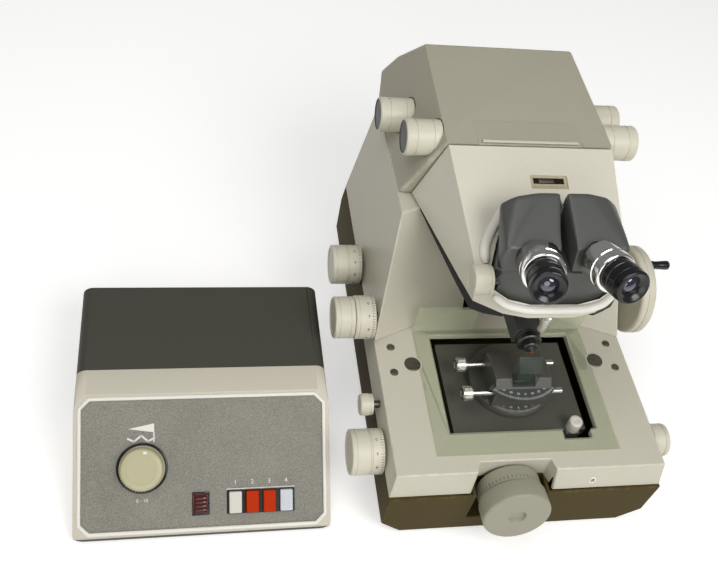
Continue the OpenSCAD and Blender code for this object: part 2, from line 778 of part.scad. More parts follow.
pocket_front_half = arm_lip_w / 2 - arm_wall - 6;
pocket_wide_half = arm_brow_w / 2 - arm_wall - 4;
pocket_mid_half = head_top_w / 2 + 2;
pocket_mid_y = arm_flat_y + 7;
pocket_back_half = head_top_w / 2 - 11;
window_w = 40;
window_d = 15;
window_x0 = 12;
window_y0 = pocket_back + 28;
hollow_y0 = pocket_back + arm_wall;
hollow_y1 = arm_back - arm_wall;
hollow_half = arm_top_w / 2 - 18;
// Front part of the pocket's outline on one side, drawn in by a gap and pushed back at the front
function nose_right(gap, back) = [
    [pocket_wide_half - gap, arm_brow_y], [pocket_front_half + 2 - gap, arm_lip_y + lip_round - 1 + back / 3],
    [pocket_front_half - 11 - gap, arm_lip_y + lip_round / 4 + rim_t - 1.5 + gap + back],
    [pocket_front_half - 34, arm_lip_y - lip_round / 6 + rim_t + gap + back]];
function nose_plan(side, gap, back = 0) = let (p = nose_right(gap, back))
    side > 0 ? p : [for (i = [3, 2, 1, 0]) [-p[i].x, p[i].y]];

module arm_shell() color(cream) difference() {
    union() {
        arm_block();
        for (x = [-ear_x - ear_t, ear_x]) difference() {
            side_view([[arm_back - 12, arm_pin_z - 10], [arm_back - 12, arm_pin_z + 8],
                       [arm_pin_y + 10, arm_pin_z + 8], [arm_pin_y + 10, arm_pin_z - 10]], x, x + ear_t);
        }
    }
    // Pocket for the microscope
    translate([0, 0, pocket_z]) linear_extrude(big) polygon([
        [-pocket_back_half, pocket_back], [pocket_back_half, pocket_back],
        [pocket_mid_half, pocket_mid_y], each nose_plan(1, 0), each nose_plan(-1, 0), [-pocket_mid_half, pocket_mid_y]]);
    // Hollow behind it, open below
    side_view([[hollow_y0, arm_z - 1], [hollow_y0, arm_top(hollow_y0) - arm_wall],
               [hollow_y1, arm_top(hollow_y1) - arm_wall], [hollow_y1, arm_z - 1]], -hollow_half, hollow_half);
    block([window_x0 - window_w / 2, window_y0, arm_flat_z - arm_wall],
          [window_x0 + window_w / 2, window_y0 + window_d, big]);
    translate([0, objective_y, arm_z - 1]) cylinder(d = objective_d + 4, h = 20);
    for (side = [-1, 1]) facing_out(side, zoom_x - well_gap, zoom_y, zoom_z)
        cylinder(d = zoom_knob_d + 2 * well_gap, h = zoom_knob_l + 20);
    cross_bar(pin_d + 2 * run_gap, -big, big, arm_pin_y, arm_pin_z);
}

module scale_window() color("#8a7a48") {
    y1 = window_y0 + window_d;
    side_view([[window_y0, arm_top(window_y0) - arm_wall], [y1, arm_top(y1) - arm_wall], [y1, arm_top(y1) - 1.5],
               [window_y0, arm_top(window_y0) - 1.5]], window_x0 - window_w / 2, window_x0 + window_w / 2);
}

// Microscope body: the part between and under the prism housings
zoom_y = head_front + 10;
zoom_z = head_z + 25;
body_h = 42;
body_back = head_back;
housing_z = head_z + body_h + 0.3;
body_lean = 9;
web_half = 1.5;
module body_plan(gap, back)
    polygon([[-pocket_back_half, body_back], [pocket_back_half, body_back], [pocket_mid_half - gap, pocket_mid_y],
             each nose_plan(1, gap, back), each nose_plan(-1, gap, back), [gap - pocket_mid_half, pocket_mid_y]]);

module microscope_body() color(slate) difference() {
    union() {
        hull() {
            translate([0, 0, head_z]) linear_extrude(eps) body_plan(2, 0);
            translate([0, 0, head_z + body_h - eps]) linear_extrude(eps) body_plan(2, body_lean);
        }
        block([-web_half, body_back - 14, head_z], [web_half, body_back, head_z + head_h - 8]);
        for (side = [-1, 1]) translate([side * prism_x, prism_pivot_y, housing_z - 1])
            cylinder(d = shaft_d, h = 16);
        block([-20, body_back - eps, head_z], [20, pocket_back - slide_gap, head_z + 36]);
    }
    cross_bar(shaft_d + 2 * run_gap, -big, big, zoom_y, zoom_z);
}

objective_h = 26;
objective_y = arm_lip_y + 40;
module objective() color(black) translate([0, objective_y, head_z - objective_h]) {
    turned(objective_d - 8, objective_h / 2 + eps, edge = 2);
    translate([0, 0, objective_h / 2]) turned(objective_d, objective_h / 2, edge = 1);
}

// Magnification drum: a shaft across the body with a knob at each end
zoom_x = pocket_wide_half - 1;
zoom_knob_l = 19;
module magnification_drum() color(cream) {
    cross_bar(shaft_d, -zoom_x - 4, zoom_x + 4, zoom_y, zoom_z);
    for (side = [-1, 1]) facing_out(side, zoom_x, zoom_y, zoom_z) turned(zoom_knob_d, zoom_knob_l);
}

lock_screw_y = arm_lip_y + 2;
module microscope_lock_screw() color(bright_steel) translate([0, lock_screw_y, arm_z]) mirror([0, 0, 1]) {
    turned(12, 4, edge = 1);
    translate([0, 0, 4 - eps]) turned(10, 22, edge = 1);
}

// Prism housing: a block that leans back and narrows upwards, with the eyepiece's bore
module housing_slab(side, x0, front_x, back_x, y0, y1, z)
    translate([0, 0, z]) linear_extrude(eps)
        polygon([[side * x0, y0], [side * front_x, y0], [side * back_x, y1], [side * x0, y1]]);

housing_top = head_z + head_h;
crease_h = 26;
module prism_housing(side) color(slate) difference() {
    hull() {
        housing_slab(side, 9, head_w / 2 - 5, pocket_back_half + 2, head_front + 4, head_back - 3, housing_z);
        housing_slab(side, 8, head_w / 2, pocket_back_half + 10, head_front + 10, head_back - 3, housing_z + 10);
        housing_slab(side, 8, head_w / 2 - 4, head_w / 2 - 4, head_front + 10, head_front + 12, housing_z + crease_h);
        housing_slab(side, 3, head_top_w / 2 + 7, head_top_w / 2 + 7, head_back - 9, head_back - 3, housing_top - 13);
        housing_slab(side, 3, head_top_w / 2 - 6, head_top_w / 2 - 6, head_back - 8, head_back - 4, housing_top - 2);
        housing_slab(side, 3, head_top_w / 4, head_top_w / 4, head_back - 8, head_back - 4, housing_top + 3);
    }
    on_eye_axis(side, 0) cylinder(d = stem_d + 2 * run_gap, h = eyepiece_l + seat_in + stem_l + 1);
    translate([side * prism_x, prism_pivot_y, housing_z - 1]) cylinder(d = shaft_d + 2 * run_gap, h = 17);
    // Flat seat that the eyepiece's collar turns on
    on_eye_axis(side, 0) cylinder(d = eyepiece_d + 8, h = eyepiece_l + seat_in);
}

seat_in = 29;
stem_l = 12;
seat_play = 0.2;
module eyepiece(side) color(black) on_eye_axis(side, 0) {
    turned(eyepiece_d, eyepiece_l, edge = 3);
    translate([0, 0, eyepiece_l - eps]) turned(eyepiece_d + 6, seat_in - seat_play, edge = 2);
    translate([0, 0, eyepiece_l + seat_in - seat_play - 2 * eps]) cylinder(d = stem_d, h = stem_l);
}
module left_prism_housing() prism_housing(-1);
module right_prism_housing() prism_housing(1);
module left_eyepiece() eyepiece(-1);
module right_eyepiece() eyepiece(1);

// A shaft right across the hood, with a knob at each end
module through_shaft(y, z, x, d, l, shaft) color(cream) {
    cross_bar(shaft, -x + l / 2, x - l / 2, y, z);
    for (side = [-1, 1]) facing_out(side, x - l, y, z) turned(d, l);
}
module focus_shaft() through_shaft(focus_y, focus_z, focus_x, hood_knob_d, hood_knob_l, shaft_d);
module tilt_shaft() through_shaft(tilt_y, tilt_z, tilt_x, hood_knob_d, hood_knob_l, shaft_d);
knob_face = base_w / 2 + knob_gap;
module cross_shaft() color(cream) {
    cross_bar(shaft_d, -knob_face - stage_knob_l / 2, knob_face + right_knob_l / 2, cross_y, seam_z);
    facing_out(-1, knob_face, cross_y, seam_z) turned(stage_knob_d, stage_knob_l);
    facing_out(1, knob_face, cross_y, seam_z) turned(right_knob_d, right_knob_l);
}

// Single knobs on the left side
module side_knob(d, l, shaft, inner, x, y, z) color(cream) {
    cross_bar(shaft, -x - l / 2, -inner, y, z);
    facing_out(-1, x, y, z) turned(d, l);
}
window_x = deck_side(window_z - window_knob_d / 2) + knob_gap;
module window_knob()
    side_knob(window_knob_d, stage_knob_l, shaft_d, belt_x, window_x, window_y, window_z);
clamp_x = deck_side(clamp_z) + 8;
module stage_clamp_knob()
    side_knob(clamp_d + 8, 14, shaft_d - 2, opening_w / 2 + 6, clamp_x, clamp_y, clamp_z);

feed_x = deck_side(feed_z - feed_knob_d / 2) + knob_gap;
feed_inner = side_x(feed_z) - wall - 3;
module coarse_feed_knob() color(cream) difference() {
    union() {
        facing_out(-1, feed_x, feed_y, feed_z) turned(feed_knob_d, feed_knob_l);
        cross_bar(drive_d, -feed_x - feed_knob_l / 2, -feed_inner, feed_y, feed_z);
    }
    cross_bar(fine_shaft_d + 2 * run_gap, -big, 0, feed_y, feed_z);
}
module fine_feed_knob()
    side_knob(feed_knob_d - 2, feed_knob_l, fine_shaft_d, feed_inner - 2, feed_x + feed_knob_l + 0.5, feed_y, feed_z);

// Front knob: a coarse ring behind a fine knob, on one tilted axis
module front_fine_knob() color(cream) {
    on_front_axis(0) difference() {
        turned(front_knob_d, front_knob_l);
        translate([0, 0, -eps]) cylinder(d = shaft_d + 8, h = 3);
    }
    on_front_axis(front_knob_l / 2) cylinder(d = fine_shaft_d, h = front_reach - front_knob_l / 2 + 4);
}
front_reach = (pocket_y + wall - front_y) / cos(front_knob_tilt) + 16;
module front_coarse_knob() color(cream) difference() {
    union() {
        on_front_axis(front_knob_l + 0.5) turned(front_knob_d - 4, front_knob_l - 4);
        on_front_axis(2 * front_knob_l - 6) cylinder(d = front_shaft_d, h = front_reach - 2 * front_knob_l + 6);
    }
    on_front_axis(0) cylinder(d = fine_shaft_d + 2 * run_gap, h = front_reach + 1);
}

// Knife stage
saddle_half = 56;
module stage_saddle() color(slate) difference() {
    block([-saddle_half, opening_mid - 46, bed_z - 8], [saddle_half, opening_mid + 46, saddle_z]);
    block([-bed_way_w / 2 - slide_gap, opening_mid - 47, bed_z - 9],
          [bed_way_w / 2 + slide_gap, opening_mid + 47, bed_z + slide_gap]);
    block([-saddle_half - 1, opening_mid - way_d / 2 - slide_gap, saddle_z - way_h - slide_gap],
          [saddle_half + 1, opening_mid + way_d / 2 + slide_gap, saddle_z + 1]);
}

way_d = 40;
way_h = 7;
module stage_top_slide() color(charcoal) difference() {
    union() {
        block([-stage_w / 2, opening_mid - stage_d / 2, saddle_z + slide_gap],
              [stage_w / 2, opening_mid + stage_d / 2, stage_z]);
        block([-stage_w / 2 + 8, opening_mid - way_d / 2, saddle_z - way_h],
              [stage_w / 2 - 8, opening_mid + way_d / 2, saddle_z + slide_gap + eps]);
        block([lock_x - lug_half, lock_y - 6, saddle_z + slide_gap], [lock_x + lug_half, lock_y + 20, stage_z]);
    }
    translate([0, turntable_y, stage_z - 6]) cylinder(d = 20 + 2 * run_gap, h = 7);
    translate([lock_x, lock_y, stage_z - 8]) cylinder(d = 6 + 2 * run_gap, h = 9);
}

module knife_turntable() color(charcoal) translate([0, turntable_y, 0]) {
    translate([0, 0, stage_z + slide_gap]) cylinder(r = turntable_r, h = turntable_t);
    translate([0, 0, stage_z - 5]) cylinder(d = 20, h = 6);
}

slot_w = knife_w;
module knife_holder() color(charcoal) difference() {
    side_view([[holder_y - holder_d / 2, turntable_z], [holder_y - holder_d / 2, turntable_z + 22],
               [holder_y - holder_d / 2 + 12, holder_z], [holder_y + 4, holder_z],
               [holder_y + holder_d / 2, turntable_z + 26], [holder_y + holder_d / 2, turntable_z]],
              -holder_w / 2, holder_w / 2);
    block([-slot_w / 2, knife_y - 6, knife_z], [slot_w / 2, knife_y + 6, big]);
    for (row = clamp_rows)
        cross_bar(clamp_screw_d + 2 * run_gap, -big, big, holder_y + row, clamp_screw_z);
}

module knife() color([0.75, 0.85, 0.82, 0.8])
    side_view([[knife_y - 6, knife_z], [knife_y - 6, chuck_z - 16], [knife_y + 6, chuck_z - 4],
               [knife_y + 6, knife_z]], -knife_w / 2, knife_w / 2);

clamp_head_x = holder_w / 2 + 22;
module clamp_screw(row) color(bright_steel) {
    cross_bar(clamp_screw_d, -clamp_head_x, holder_w / 2 + 16, holder_y + row, clamp_screw_z);
    facing_out(-1, clamp_head_x - eps, holder_y + row, clamp_screw_z) turned(clamp_d, 12, edge = 1);
}
module front_clamp_screw() clamp_screw(clamp_rows[0]);
module rear_clamp_screw() clamp_screw(clamp_rows[1]);

module turntable_lock_knob() color("#e8e4d8") translate([lock_x, lock_y, stage_z - 6]) {
    cylinder(d = 6, h = 12);
    translate([0, 0, 6.3]) turned(clamp_d, lock_knob_h, edge = 1.5);
}

// Control unit: a pan, a dark cover, a cream bezel and a grey panel
module unit_round(inset) {
    half = unit_w / 2 - inset;
    low = unit_z + inset;
    high = unit_z + unit_h - inset;
    r = unit_r - inset;
    block([unit_x - half + r, unit_front - 1, low], [unit_x + half - r, unit_back + 1, high]);
    block([unit_x - half, unit_front - 1, low + r], [unit_x + half, unit_back + 1, high - r]);
    for (x = [unit_x - half + r, unit_x + half - r], z = [low + r, high - r])
        translate([x, unit_front - 1, z]) rotate([-90, 0, 0]) cylinder(r = r, h = unit_d + 2);
}

module unit_profile(inset, x_half) intersection() {
    lip = unit_z + unit_lip - inset * tan(panel_slope / 2);
    unit_round(inset);
    side_view([[unit_front + inset, unit_z + inset], [unit_front + inset, lip],
               [crest_y + inset * tan(panel_slope / 2), unit_z + unit_h - inset],
               [unit_back - inset, unit_z + unit_h - inset], [unit_back - inset, unit_z + inset]],
              unit_x - x_half, unit_x + x_half);
}

pan_h = unit_wall + 2;
module unit_pan_room() block([unit_x - unit_w, unit_front - 1, unit_z - 1], [unit_x + unit_w, unit_back + 1, unit_z + pan_h]);
cover_y = crest_y + 30;
module unit_base() color(charcoal) difference() {
    intersection() {
        unit_profile(0, unit_w / 2);
        unit_pan_room();
    }
    unit_profile(unit_wall, unit_w / 2 - unit_wall);
}

module unit_shell(y0, y1) difference() {
    intersection() {
        unit_profile(0, unit_w / 2);
        block([unit_x - unit_w, y0, unit_z + pan_h], [unit_x + unit_w, y1, big]);
    }
    unit_profile(unit_wall, unit_w / 2 - unit_wall);
}

socket_x = unit_x + unit_w / 4;
socket_z = unit_z + unit_h / 2;
module unit_cover() color(charcoal) difference() {
    unit_shell(cover_y, unit_back + 1);
    translate([socket_x, unit_back - unit_wall - 1, socket_z]) rotate([-90, 0, 0]) cylinder(d = 24.2, h = 10);
}

// Panel plate with cut corners
module panel_plate(t) linear_extrude(t) polygon([
    [-panel_w / 2 + panel_cut, 0], [panel_w / 2 - panel_cut, 0], [panel_w / 2, panel_cut],
    [panel_w / 2, panel_l - panel_cut], [panel_w / 2 - panel_cut, panel_l], [-panel_w / 2 + panel_cut, panel_l],
    [-panel_w / 2, panel_l - panel_cut], [-panel_w / 2, panel_cut]]);

module unit_bezel() color(cream) difference() {
    unit_shell(unit_front - 1, cover_y);
    on_panel(0, panel_s0, -10) panel_plate(20);
}

module unit_panel() color("#8e8c86") difference() {
    on_panel(0, panel_s0, -panel_t - 1) panel_plate(panel_t);
    on_panel(knob_u, knob_s, -10) cylinder(d = 8, h = 20);
    on_panel(lamp_u - lamp_w / 2, button_s - lamp_l / 2, -10) cube([lamp_w, lamp_l, 20]);
    on_panel(button_u0 - button_pitch / 2, button_s - button_l / 2 - 1, -10)
        cube([button_pitch * len(buttons), button_l + 2, 20]);
}

panel_face = -1;
module speed_knob() color("#d8d2aa") {
    on_panel(knob_u, knob_s, panel_face + 0.4) turned(speed_knob_d, speed_knob_h);
    on_panel(knob_u, knob_s, panel_face - panel_t - 12) cylinder(d = 6, h = panel_t + 14);
}

module speed_control() color(black) difference() {
    on_panel(knob_u, knob_s, panel_face - panel_t - 20) cylinder(d = 30, h = 20);
    on_panel(knob_u, knob_s, panel_face - panel_t - 14) cylinder(d = 6 + 2 * run_gap, h = 20);
}

module indicator_lamp() color("#8d1a14") {
    on_panel(lamp_u - lamp_w / 2, button_s - lamp_l / 2, panel_face - 6) cube([lamp_w, lamp_l, 8]);
    on_panel(lamp_u, button_s, panel_face - 16) cylinder(d = 14, h = 10 + eps);
}

// Row of push buttons in a housing behind the panel
switch_depth = 15;
module switch_body() color(black) difference() {
    on_panel(button_u0 - button_pitch / 2, button_s - button_l / 2 - 1, panel_face - switch_depth)
        cube([button_pitch * len(buttons), button_l + 2, switch_depth + 0.5]);
    for (i = buttons) on_panel(button_u(i) - button_play, button_s - button_l / 2 - button_play, panel_face - 12)
        cube([button_w + 2 * button_play, button_l + 2 * button_play, 20]);
}
function button_u(i) = button_u0 + (i - 0.5) * button_pitch + (button_pitch - button_w) / 2;

module button(i) color(button_tints[i])
    on_panel(button_u(i), button_s - button_l / 2, panel_face - 12 + button_travel + 0.5)
        cube([button_w, button_l, 12 - button_travel - 0.5 + button_h]);
module button_1() button(0);
module button_2() button(1);
module button_3() button(2);
module button_4() button(3);

module unit_socket() color(black) translate([socket_x, unit_back, socket_z]) rotate([90, 0, 0]) difference() {
    union() {
        translate([0, 0, -3]) cylinder(d = 32, h = 3);
        translate([0, 0, -eps]) cylinder(d = 24, h = 20);
    }
    translate([0, 0, -4]) cylinder(d = 18, h = 16);
}

base_plinth();
rubber_feet();
deck_housing();
tower_shell();
rear_cover();
hood();
hood_lid();
main_frame();
pivot_pins();
drip_tray();
deck_plugs();
stage_bed();
drive_motor();
drive_belt();
handwheel();
handle_grip();
crank_shaft();
specimen_arm();
specimen_chuck();
arm_shell();
scale_window();
microscope_body();
objective();
magnification_drum();
microscope_lock_screw();
left_prism_housing();
right_prism_housing();
left_eyepiece();
right_eyepiece();
focus_shaft();
tilt_shaft();
window_knob();
coarse_feed_knob();
fine_feed_knob();
stage_clamp_knob();
cross_shaft();
front_coarse_knob();
front_fine_knob();
stage_saddle();
stage_top_slide();
knife_turntable();
knife_holder();
knife();
front_clamp_screw();
rear_clamp_screw();
turntable_lock_knob();
unit_base();
unit_cover();
unit_bezel();
unit_panel();
speed_knob();
speed_control();
indicator_lamp();
switch_body();
button_1();
button_2();
button_3();
button_4();
unit_socket();
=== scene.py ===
import bpy
import bmesh
import json
import numpy as np
from math import radians, sin, cos, pi, hypot, atan2
from mathutils import Matrix, Vector


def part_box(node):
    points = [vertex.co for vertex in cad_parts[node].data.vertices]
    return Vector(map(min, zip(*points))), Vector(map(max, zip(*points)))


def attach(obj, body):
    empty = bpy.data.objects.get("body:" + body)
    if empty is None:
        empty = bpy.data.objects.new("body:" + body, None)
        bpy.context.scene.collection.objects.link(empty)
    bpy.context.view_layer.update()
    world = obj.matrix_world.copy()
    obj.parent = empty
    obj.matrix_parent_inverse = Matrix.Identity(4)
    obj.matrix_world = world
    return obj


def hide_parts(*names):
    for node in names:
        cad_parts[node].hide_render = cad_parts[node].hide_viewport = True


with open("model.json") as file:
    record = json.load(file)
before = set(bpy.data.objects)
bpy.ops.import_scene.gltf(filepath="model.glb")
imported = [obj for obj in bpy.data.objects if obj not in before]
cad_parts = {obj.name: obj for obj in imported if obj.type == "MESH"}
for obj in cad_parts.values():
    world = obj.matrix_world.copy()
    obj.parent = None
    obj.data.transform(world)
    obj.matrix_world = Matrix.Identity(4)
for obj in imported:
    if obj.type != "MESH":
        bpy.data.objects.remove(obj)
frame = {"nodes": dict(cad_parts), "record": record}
nodes = frame["nodes"]
bodyOf = {n: b for b, ns in frame["record"]["behaviour"]["bodies"].items() for n in ns}
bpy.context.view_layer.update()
mm = 0.001
toMetres = Matrix.Scale(mm, 4)
scene = bpy.context.scene


def boxOf(name):
    # a node's box in millimetres
    return [Vector(v) * 1000 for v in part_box(name)]


def shift(x, y, z):
    return Matrix.Translation((x, y, z))


def spin(angle, axis):
    return Matrix.Rotation(angle, 4, axis)


def addObject(name, data):
    made = bpy.data.objects.new(name, data)
    scene.collection.objects.link(made)
    return made


def evaluated(carrier):
    # the mesh a carrier's modifiers give; the carrier itself goes
    bpy.context.view_layer.update()
    made = bpy.data.meshes.new_from_object(carrier.evaluated_get(bpy.context.evaluated_depsgraph_get()))
    bpy.data.objects.remove(carrier)
    return made


def sRgb(r, g, b):
    return tuple((c / 255 / 12.92) if c <= 10 else ((c / 255 + 0.055) / 1.055) ** 2.4 for c in (r, g, b)) + (1.0,)


class Graph:
    # a node tree being built; what is fed to a socket is a value or the socket it comes from
    def __init__(self, tree, inputs=(), **outputs):
        self.tree = tree
        for label, value in dict(inputs).items():
            kind = {float: "Float", int: "Int", tuple: "Color"}.get(type(value), value)
            sock = tree.interface.new_socket(name=label, in_out="INPUT", socket_type="NodeSocket" + kind)
            if kind != value:
                sock.default_value = value
        for label, kind in outputs.items():
            tree.interface.new_socket(name=label, in_out="OUTPUT", socket_type="NodeSocket" + kind)

    def feed(self, node, feeds):
        for label, given in dict(feeds).items():
            for value in given if isinstance(given, list) else [given]:
                if isinstance(value, bpy.types.NodeSocket):
                    self.tree.links.new(value, node.inputs[label])
                else:
                    node.inputs[label].default_value = value

    def add(self, kind, feeds=(), **settings):
        node = self.tree.nodes.new(kind)
        for label, value in settings.items():
            setattr(node, label, value)
        self.feed(node, feeds)
        return node.outputs

    def math(self, op, a, b):
        return self.add("ShaderNodeMath", {0: a, 1: b}, operation=op)[0]

    def times(self, a, b):
        return self.math("MULTIPLY", a, b)

    def plus(self, a, b):
        return self.math("ADD", a, b)

    def triple(self, x, y, z):
        return self.add("ShaderNodeCombineXYZ", {0: x, 1: y, 2: z})[0]

    def noise(self, coords, scale, detail, rough):
        return self.add("ShaderNodeTexNoise", {"Vector": coords, "Scale": scale, "Detail": detail,
                                               "Roughness": rough})["Fac"]

    def span(self, value, low, high, toLow=0.0, toHigh=1.0):
        return self.add("ShaderNodeMapRange", {"Value": value, "From Min": low, "From Max": high, "To Min": toLow,
                                               "To Max": toHigh})["Result"]

    def mix(self, kind, factor, a, b):
        return self.add("ShaderNodeMix", {0: factor, 6: a, 7: b}, data_type="RGBA", blend_type=kind)[2]

    def copies(self, points, instance, skin, paintAll=True, **turned):
        # ends a geometry tree: copies on points, made real and painted
        placed = self.add("GeometryNodeInstanceOnPoints", {"Points": points, "Instance": instance, **turned})
        real = self.add("GeometryNodeRealizeInstances", {0: placed[0]})
        painted = self.add("GeometryNodeSetMaterial", {"Geometry": real[0], "Selection": paintAll, "Material": skin})
        self.add("NodeGroupOutput", {"Geometry": painted[0]})
        return self.tree


# camera, floor and lights
cameraView = {"focal": 880.0, "width": 718, "sensor": 36, "reach": 30, "turn": (40.061744, -8.468081, -7.313717),
              "place": (-350.15, -596.96, 881.34)}  # focal length and width in pixels


def makeCamera(v):
    data = bpy.data.cameras.new("photoView")
    data.sensor_fit, data.sensor_width, data.clip_end = "HORIZONTAL", v["sensor"], v["reach"]
    data.lens = v["focal"] * v["sensor"] / v["width"]
    scene.camera = addObject("photoView", data)
    scene.camera.location = Vector(v["place"]) * mm
    scene.camera.rotation_euler = [radians(angle) for angle in v["turn"]]


makeCamera(cameraView)
scene.view_settings.view_transform = "Standard"

studio = {"floor": (226, 225, 222), "size": 12.0, "rough": 0.9, "sheen": 0.1, "glow": 0.47,
          "world": (246, 247, 248), "worldGlow": 0.24, "backdrop": (248, 248, 248)}
lamps = {  # place, aim, width and power
    "key": ((0.6, -1.25, 1.7), (0, -0.05, 0.1), 1.2, 22.0),
    "fill": ((-0.45, -2.0, 0.8), (-0.05, -0.1, 0.12), 1.4, 10.0),
    "top": ((-0.75, -0.1, 1.9), (-0.05, 0.0, 0.2), 1.6, 11.0)}


def makeStudio(s):
    half = s["size"] / 2
    mesh = bpy.data.meshes.new("studioFloor")
    mesh.from_pydata([(-half, -half, 0), (half, -half, 0), (half, half, 0), (-half, half, 0)], [], [(0, 1, 2, 3)])
    floor = addObject("studioFloor", mesh)
    mat = bpy.data.materials.new("floorPaper")
    mat.use_nodes = True
    g = Graph(mat.node_tree)
    rays = g.add("ShaderNodeLightPath")
    seen = g.math("MAXIMUM", g.math("MAXIMUM", rays["Is Camera Ray"], rays["Is Glossy Ray"]),
                  rays["Is Transmission Ray"])
    g.feed(g.tree.nodes["Principled BSDF"], {
        "Base Color": sRgb(*s["floor"]), "Roughness": s["rough"], "Specular IOR Level": s["sheen"],
        "Emission Color": (1, 1, 1, 1), "Emission Strength": g.times(seen, s["glow"])})
    mesh.materials.append(mat)
    scene.world = bpy.data.worlds.new("studioWorld")
    scene.world.use_nodes = True
    g = Graph(scene.world.node_tree)
    plain = g.tree.nodes["Background"]
    g.feed(plain, {"Color": sRgb(*s["world"]), "Strength": s["worldGlow"]})
    backdrop = g.add("ShaderNodeBackground", {"Color": sRgb(*s["backdrop"])})
    both = g.add("ShaderNodeMixShader", {0: g.add("ShaderNodeLightPath")["Is Camera Ray"], 1: plain.outputs[0],
                                         2: backdrop[0]})
    g.feed(g.tree.nodes["World Output"], {"Surface": both[0]})


def makeLamp(name, place, aim, width, power):
    data = bpy.data.lights.new(name, "AREA")
    data.shape, data.size, data.energy = "DISK", width, power
    lamp = addObject(name, data)
    lamp.location = place
    lamp.rotation_euler = (Vector(aim) - Vector(place)).to_track_quat("-Z", "Y").to_euler()


makeStudio(studio)
for name, values in lamps.items():
    makeLamp(name + "Light", *values)
print("camera and studio set")


# shader groups and finishes
def skinGroup(name, build, inputs):
    # colour, roughness and height from Object coordinates
    g = Graph(bpy.data.node_groups.new(name, "ShaderNodeTree"), inputs, Colour="Color", Roughness="Float",
              Height="Float")
    coords = g.add("ShaderNodeTexCoord")["Object"]
    colour, rough, height = build(g, g.add("NodeGroupInput"), coords)
    g.add("NodeGroupOutput", {"Colour": colour, "Roughness": rough, "Height": height})
    return g.tree


def paintNodes(g, given, coords):
    blotch = g.noise(coords, given["Blotch Scale"], 4.0, 0.6)
    tone = g.span(blotch, 0.3, 0.7, g.math("SUBTRACT", 1.0, given["Blotch"]), 1.0)
    grain = g.noise(coords, given["Grain Scale"], 2.0, 0.5)
    fleck = g.span(grain, 0.25, 0.75, 0.97, 1.03)
    colour = g.mix("MULTIPLY", 1.0, given["Colour"], g.times(tone, fleck))
    spots = g.noise(coords, 110.0, 6.0, 0.75)  # old grime in small spots
    grime = g.times(g.span(spots, 0.62, 0.76), given["Grime"])
    colour = g.mix("MULTIPLY", grime, colour, sRgb(150, 138, 108))
    edge = g.add("ShaderNodeAttribute", attribute_name="wear")["Fac"]
    rub = g.span(g.noise(coords, 120.0, 4.0, 0.65), 0.42, 0.62)
    worn = g.times(g.times(edge, rub), given["Worn"])
    colour = g.mix("MIX", worn, colour, given["Worn Colour"])
    rough = g.plus(given["Gloss"], g.span(blotch, 0.3, 0.7, -0.03, 0.04))
    return colour, rough, g.plus(grain, g.times(blotch, 0.6))


def speckNodes(g, given, coords):
    fine = g.noise(coords, given["Scale"], 1.0, 0.5)
    pale = g.times(g.span(fine, 0.5, 0.62), given["Amount"])
    colour = g.mix("MIX", pale, given["Colour"], given["Fleck Colour"])
    dark = g.times(g.span(fine, 0.44, 0.34), given["Amount"])
    colour = g.mix("MIX", dark, colour, sRgb(44, 43, 40))
    cloud = g.span(g.noise(coords, 16.0, 4.0, 0.6), 0.3, 0.7, 0.9, 1.08)
    return g.mix("MULTIPLY", 1.0, colour, cloud), g.span(fine, 0.3, 0.7, 0.5, 0.66), fine


def metalNodes(g, given, coords):
    stretch = g.add("ShaderNodeVectorMath", {0: coords, 1: (40.0, 900.0, 900.0)}, operation="MULTIPLY")[0]
    lines = g.noise(stretch, 1.0, 3.0, 0.6)
    stain = g.noise(coords, 60.0, 5.0, 0.65)
    mask = g.times(g.span(stain, 0.48, 0.7), given["Stain"])
    colour = g.mix("MIX", mask, given["Colour"], given["Stain Colour"])
    colour = g.mix("MULTIPLY", 1.0, colour, g.span(lines, 0.3, 0.7, 0.9, 1.06))
    rough = g.plus(given["Gloss"], g.span(lines, 0.3, 0.7, -0.05, 0.1))
    return colour, g.plus(rough, g.times(mask, 0.4)), lines


paintSkin = skinGroup("paintSkin", paintNodes, {
    "Colour": (0.6, 0.6, 0.5, 1), "Blotch": 0.06, "Blotch Scale": 9.0, "Grain Scale": 900.0,
    "Worn Colour": (0.8, 0.78, 0.7, 1), "Worn": 0.5, "Gloss": 0.42, "Grime": 0.12})
panelSpeck = skinGroup("panelSpeck", speckNodes, {
    "Colour": (0.25, 0.25, 0.24, 1), "Fleck Colour": (0.6, 0.6, 0.58, 1), "Scale": 1500.0, "Amount": 0.5})
machinedSkin = skinGroup("machinedSkin", metalNodes, {
    "Colour": (0.6, 0.6, 0.58, 1), "Stain Colour": (0.25, 0.22, 0.18, 1), "Stain": 0.25, "Gloss": 0.25})
finish = {}


def makeFinish(name, group, values, bump, bumpDepth, shaderValues):
    mat = bpy.data.materials.new(name)
    mat.use_nodes = True
    g = Graph(mat.node_tree)
    shader = g.tree.nodes["Principled BSDF"]
    skin = g.add("ShaderNodeGroup", values, node_tree=group)
    g.feed(shader, {"Base Color": skin["Colour"], "Roughness": skin["Roughness"], **shaderValues})
    if bump:
        raised = g.add("ShaderNodeBump", {"Strength": bump, "Distance": bumpDepth * mm, "Height": skin["Height"]})
        g.feed(shader, {"Normal": raised["Normal"]})
    mat.diffuse_color = values["Colour"]
    finish[name] = mat


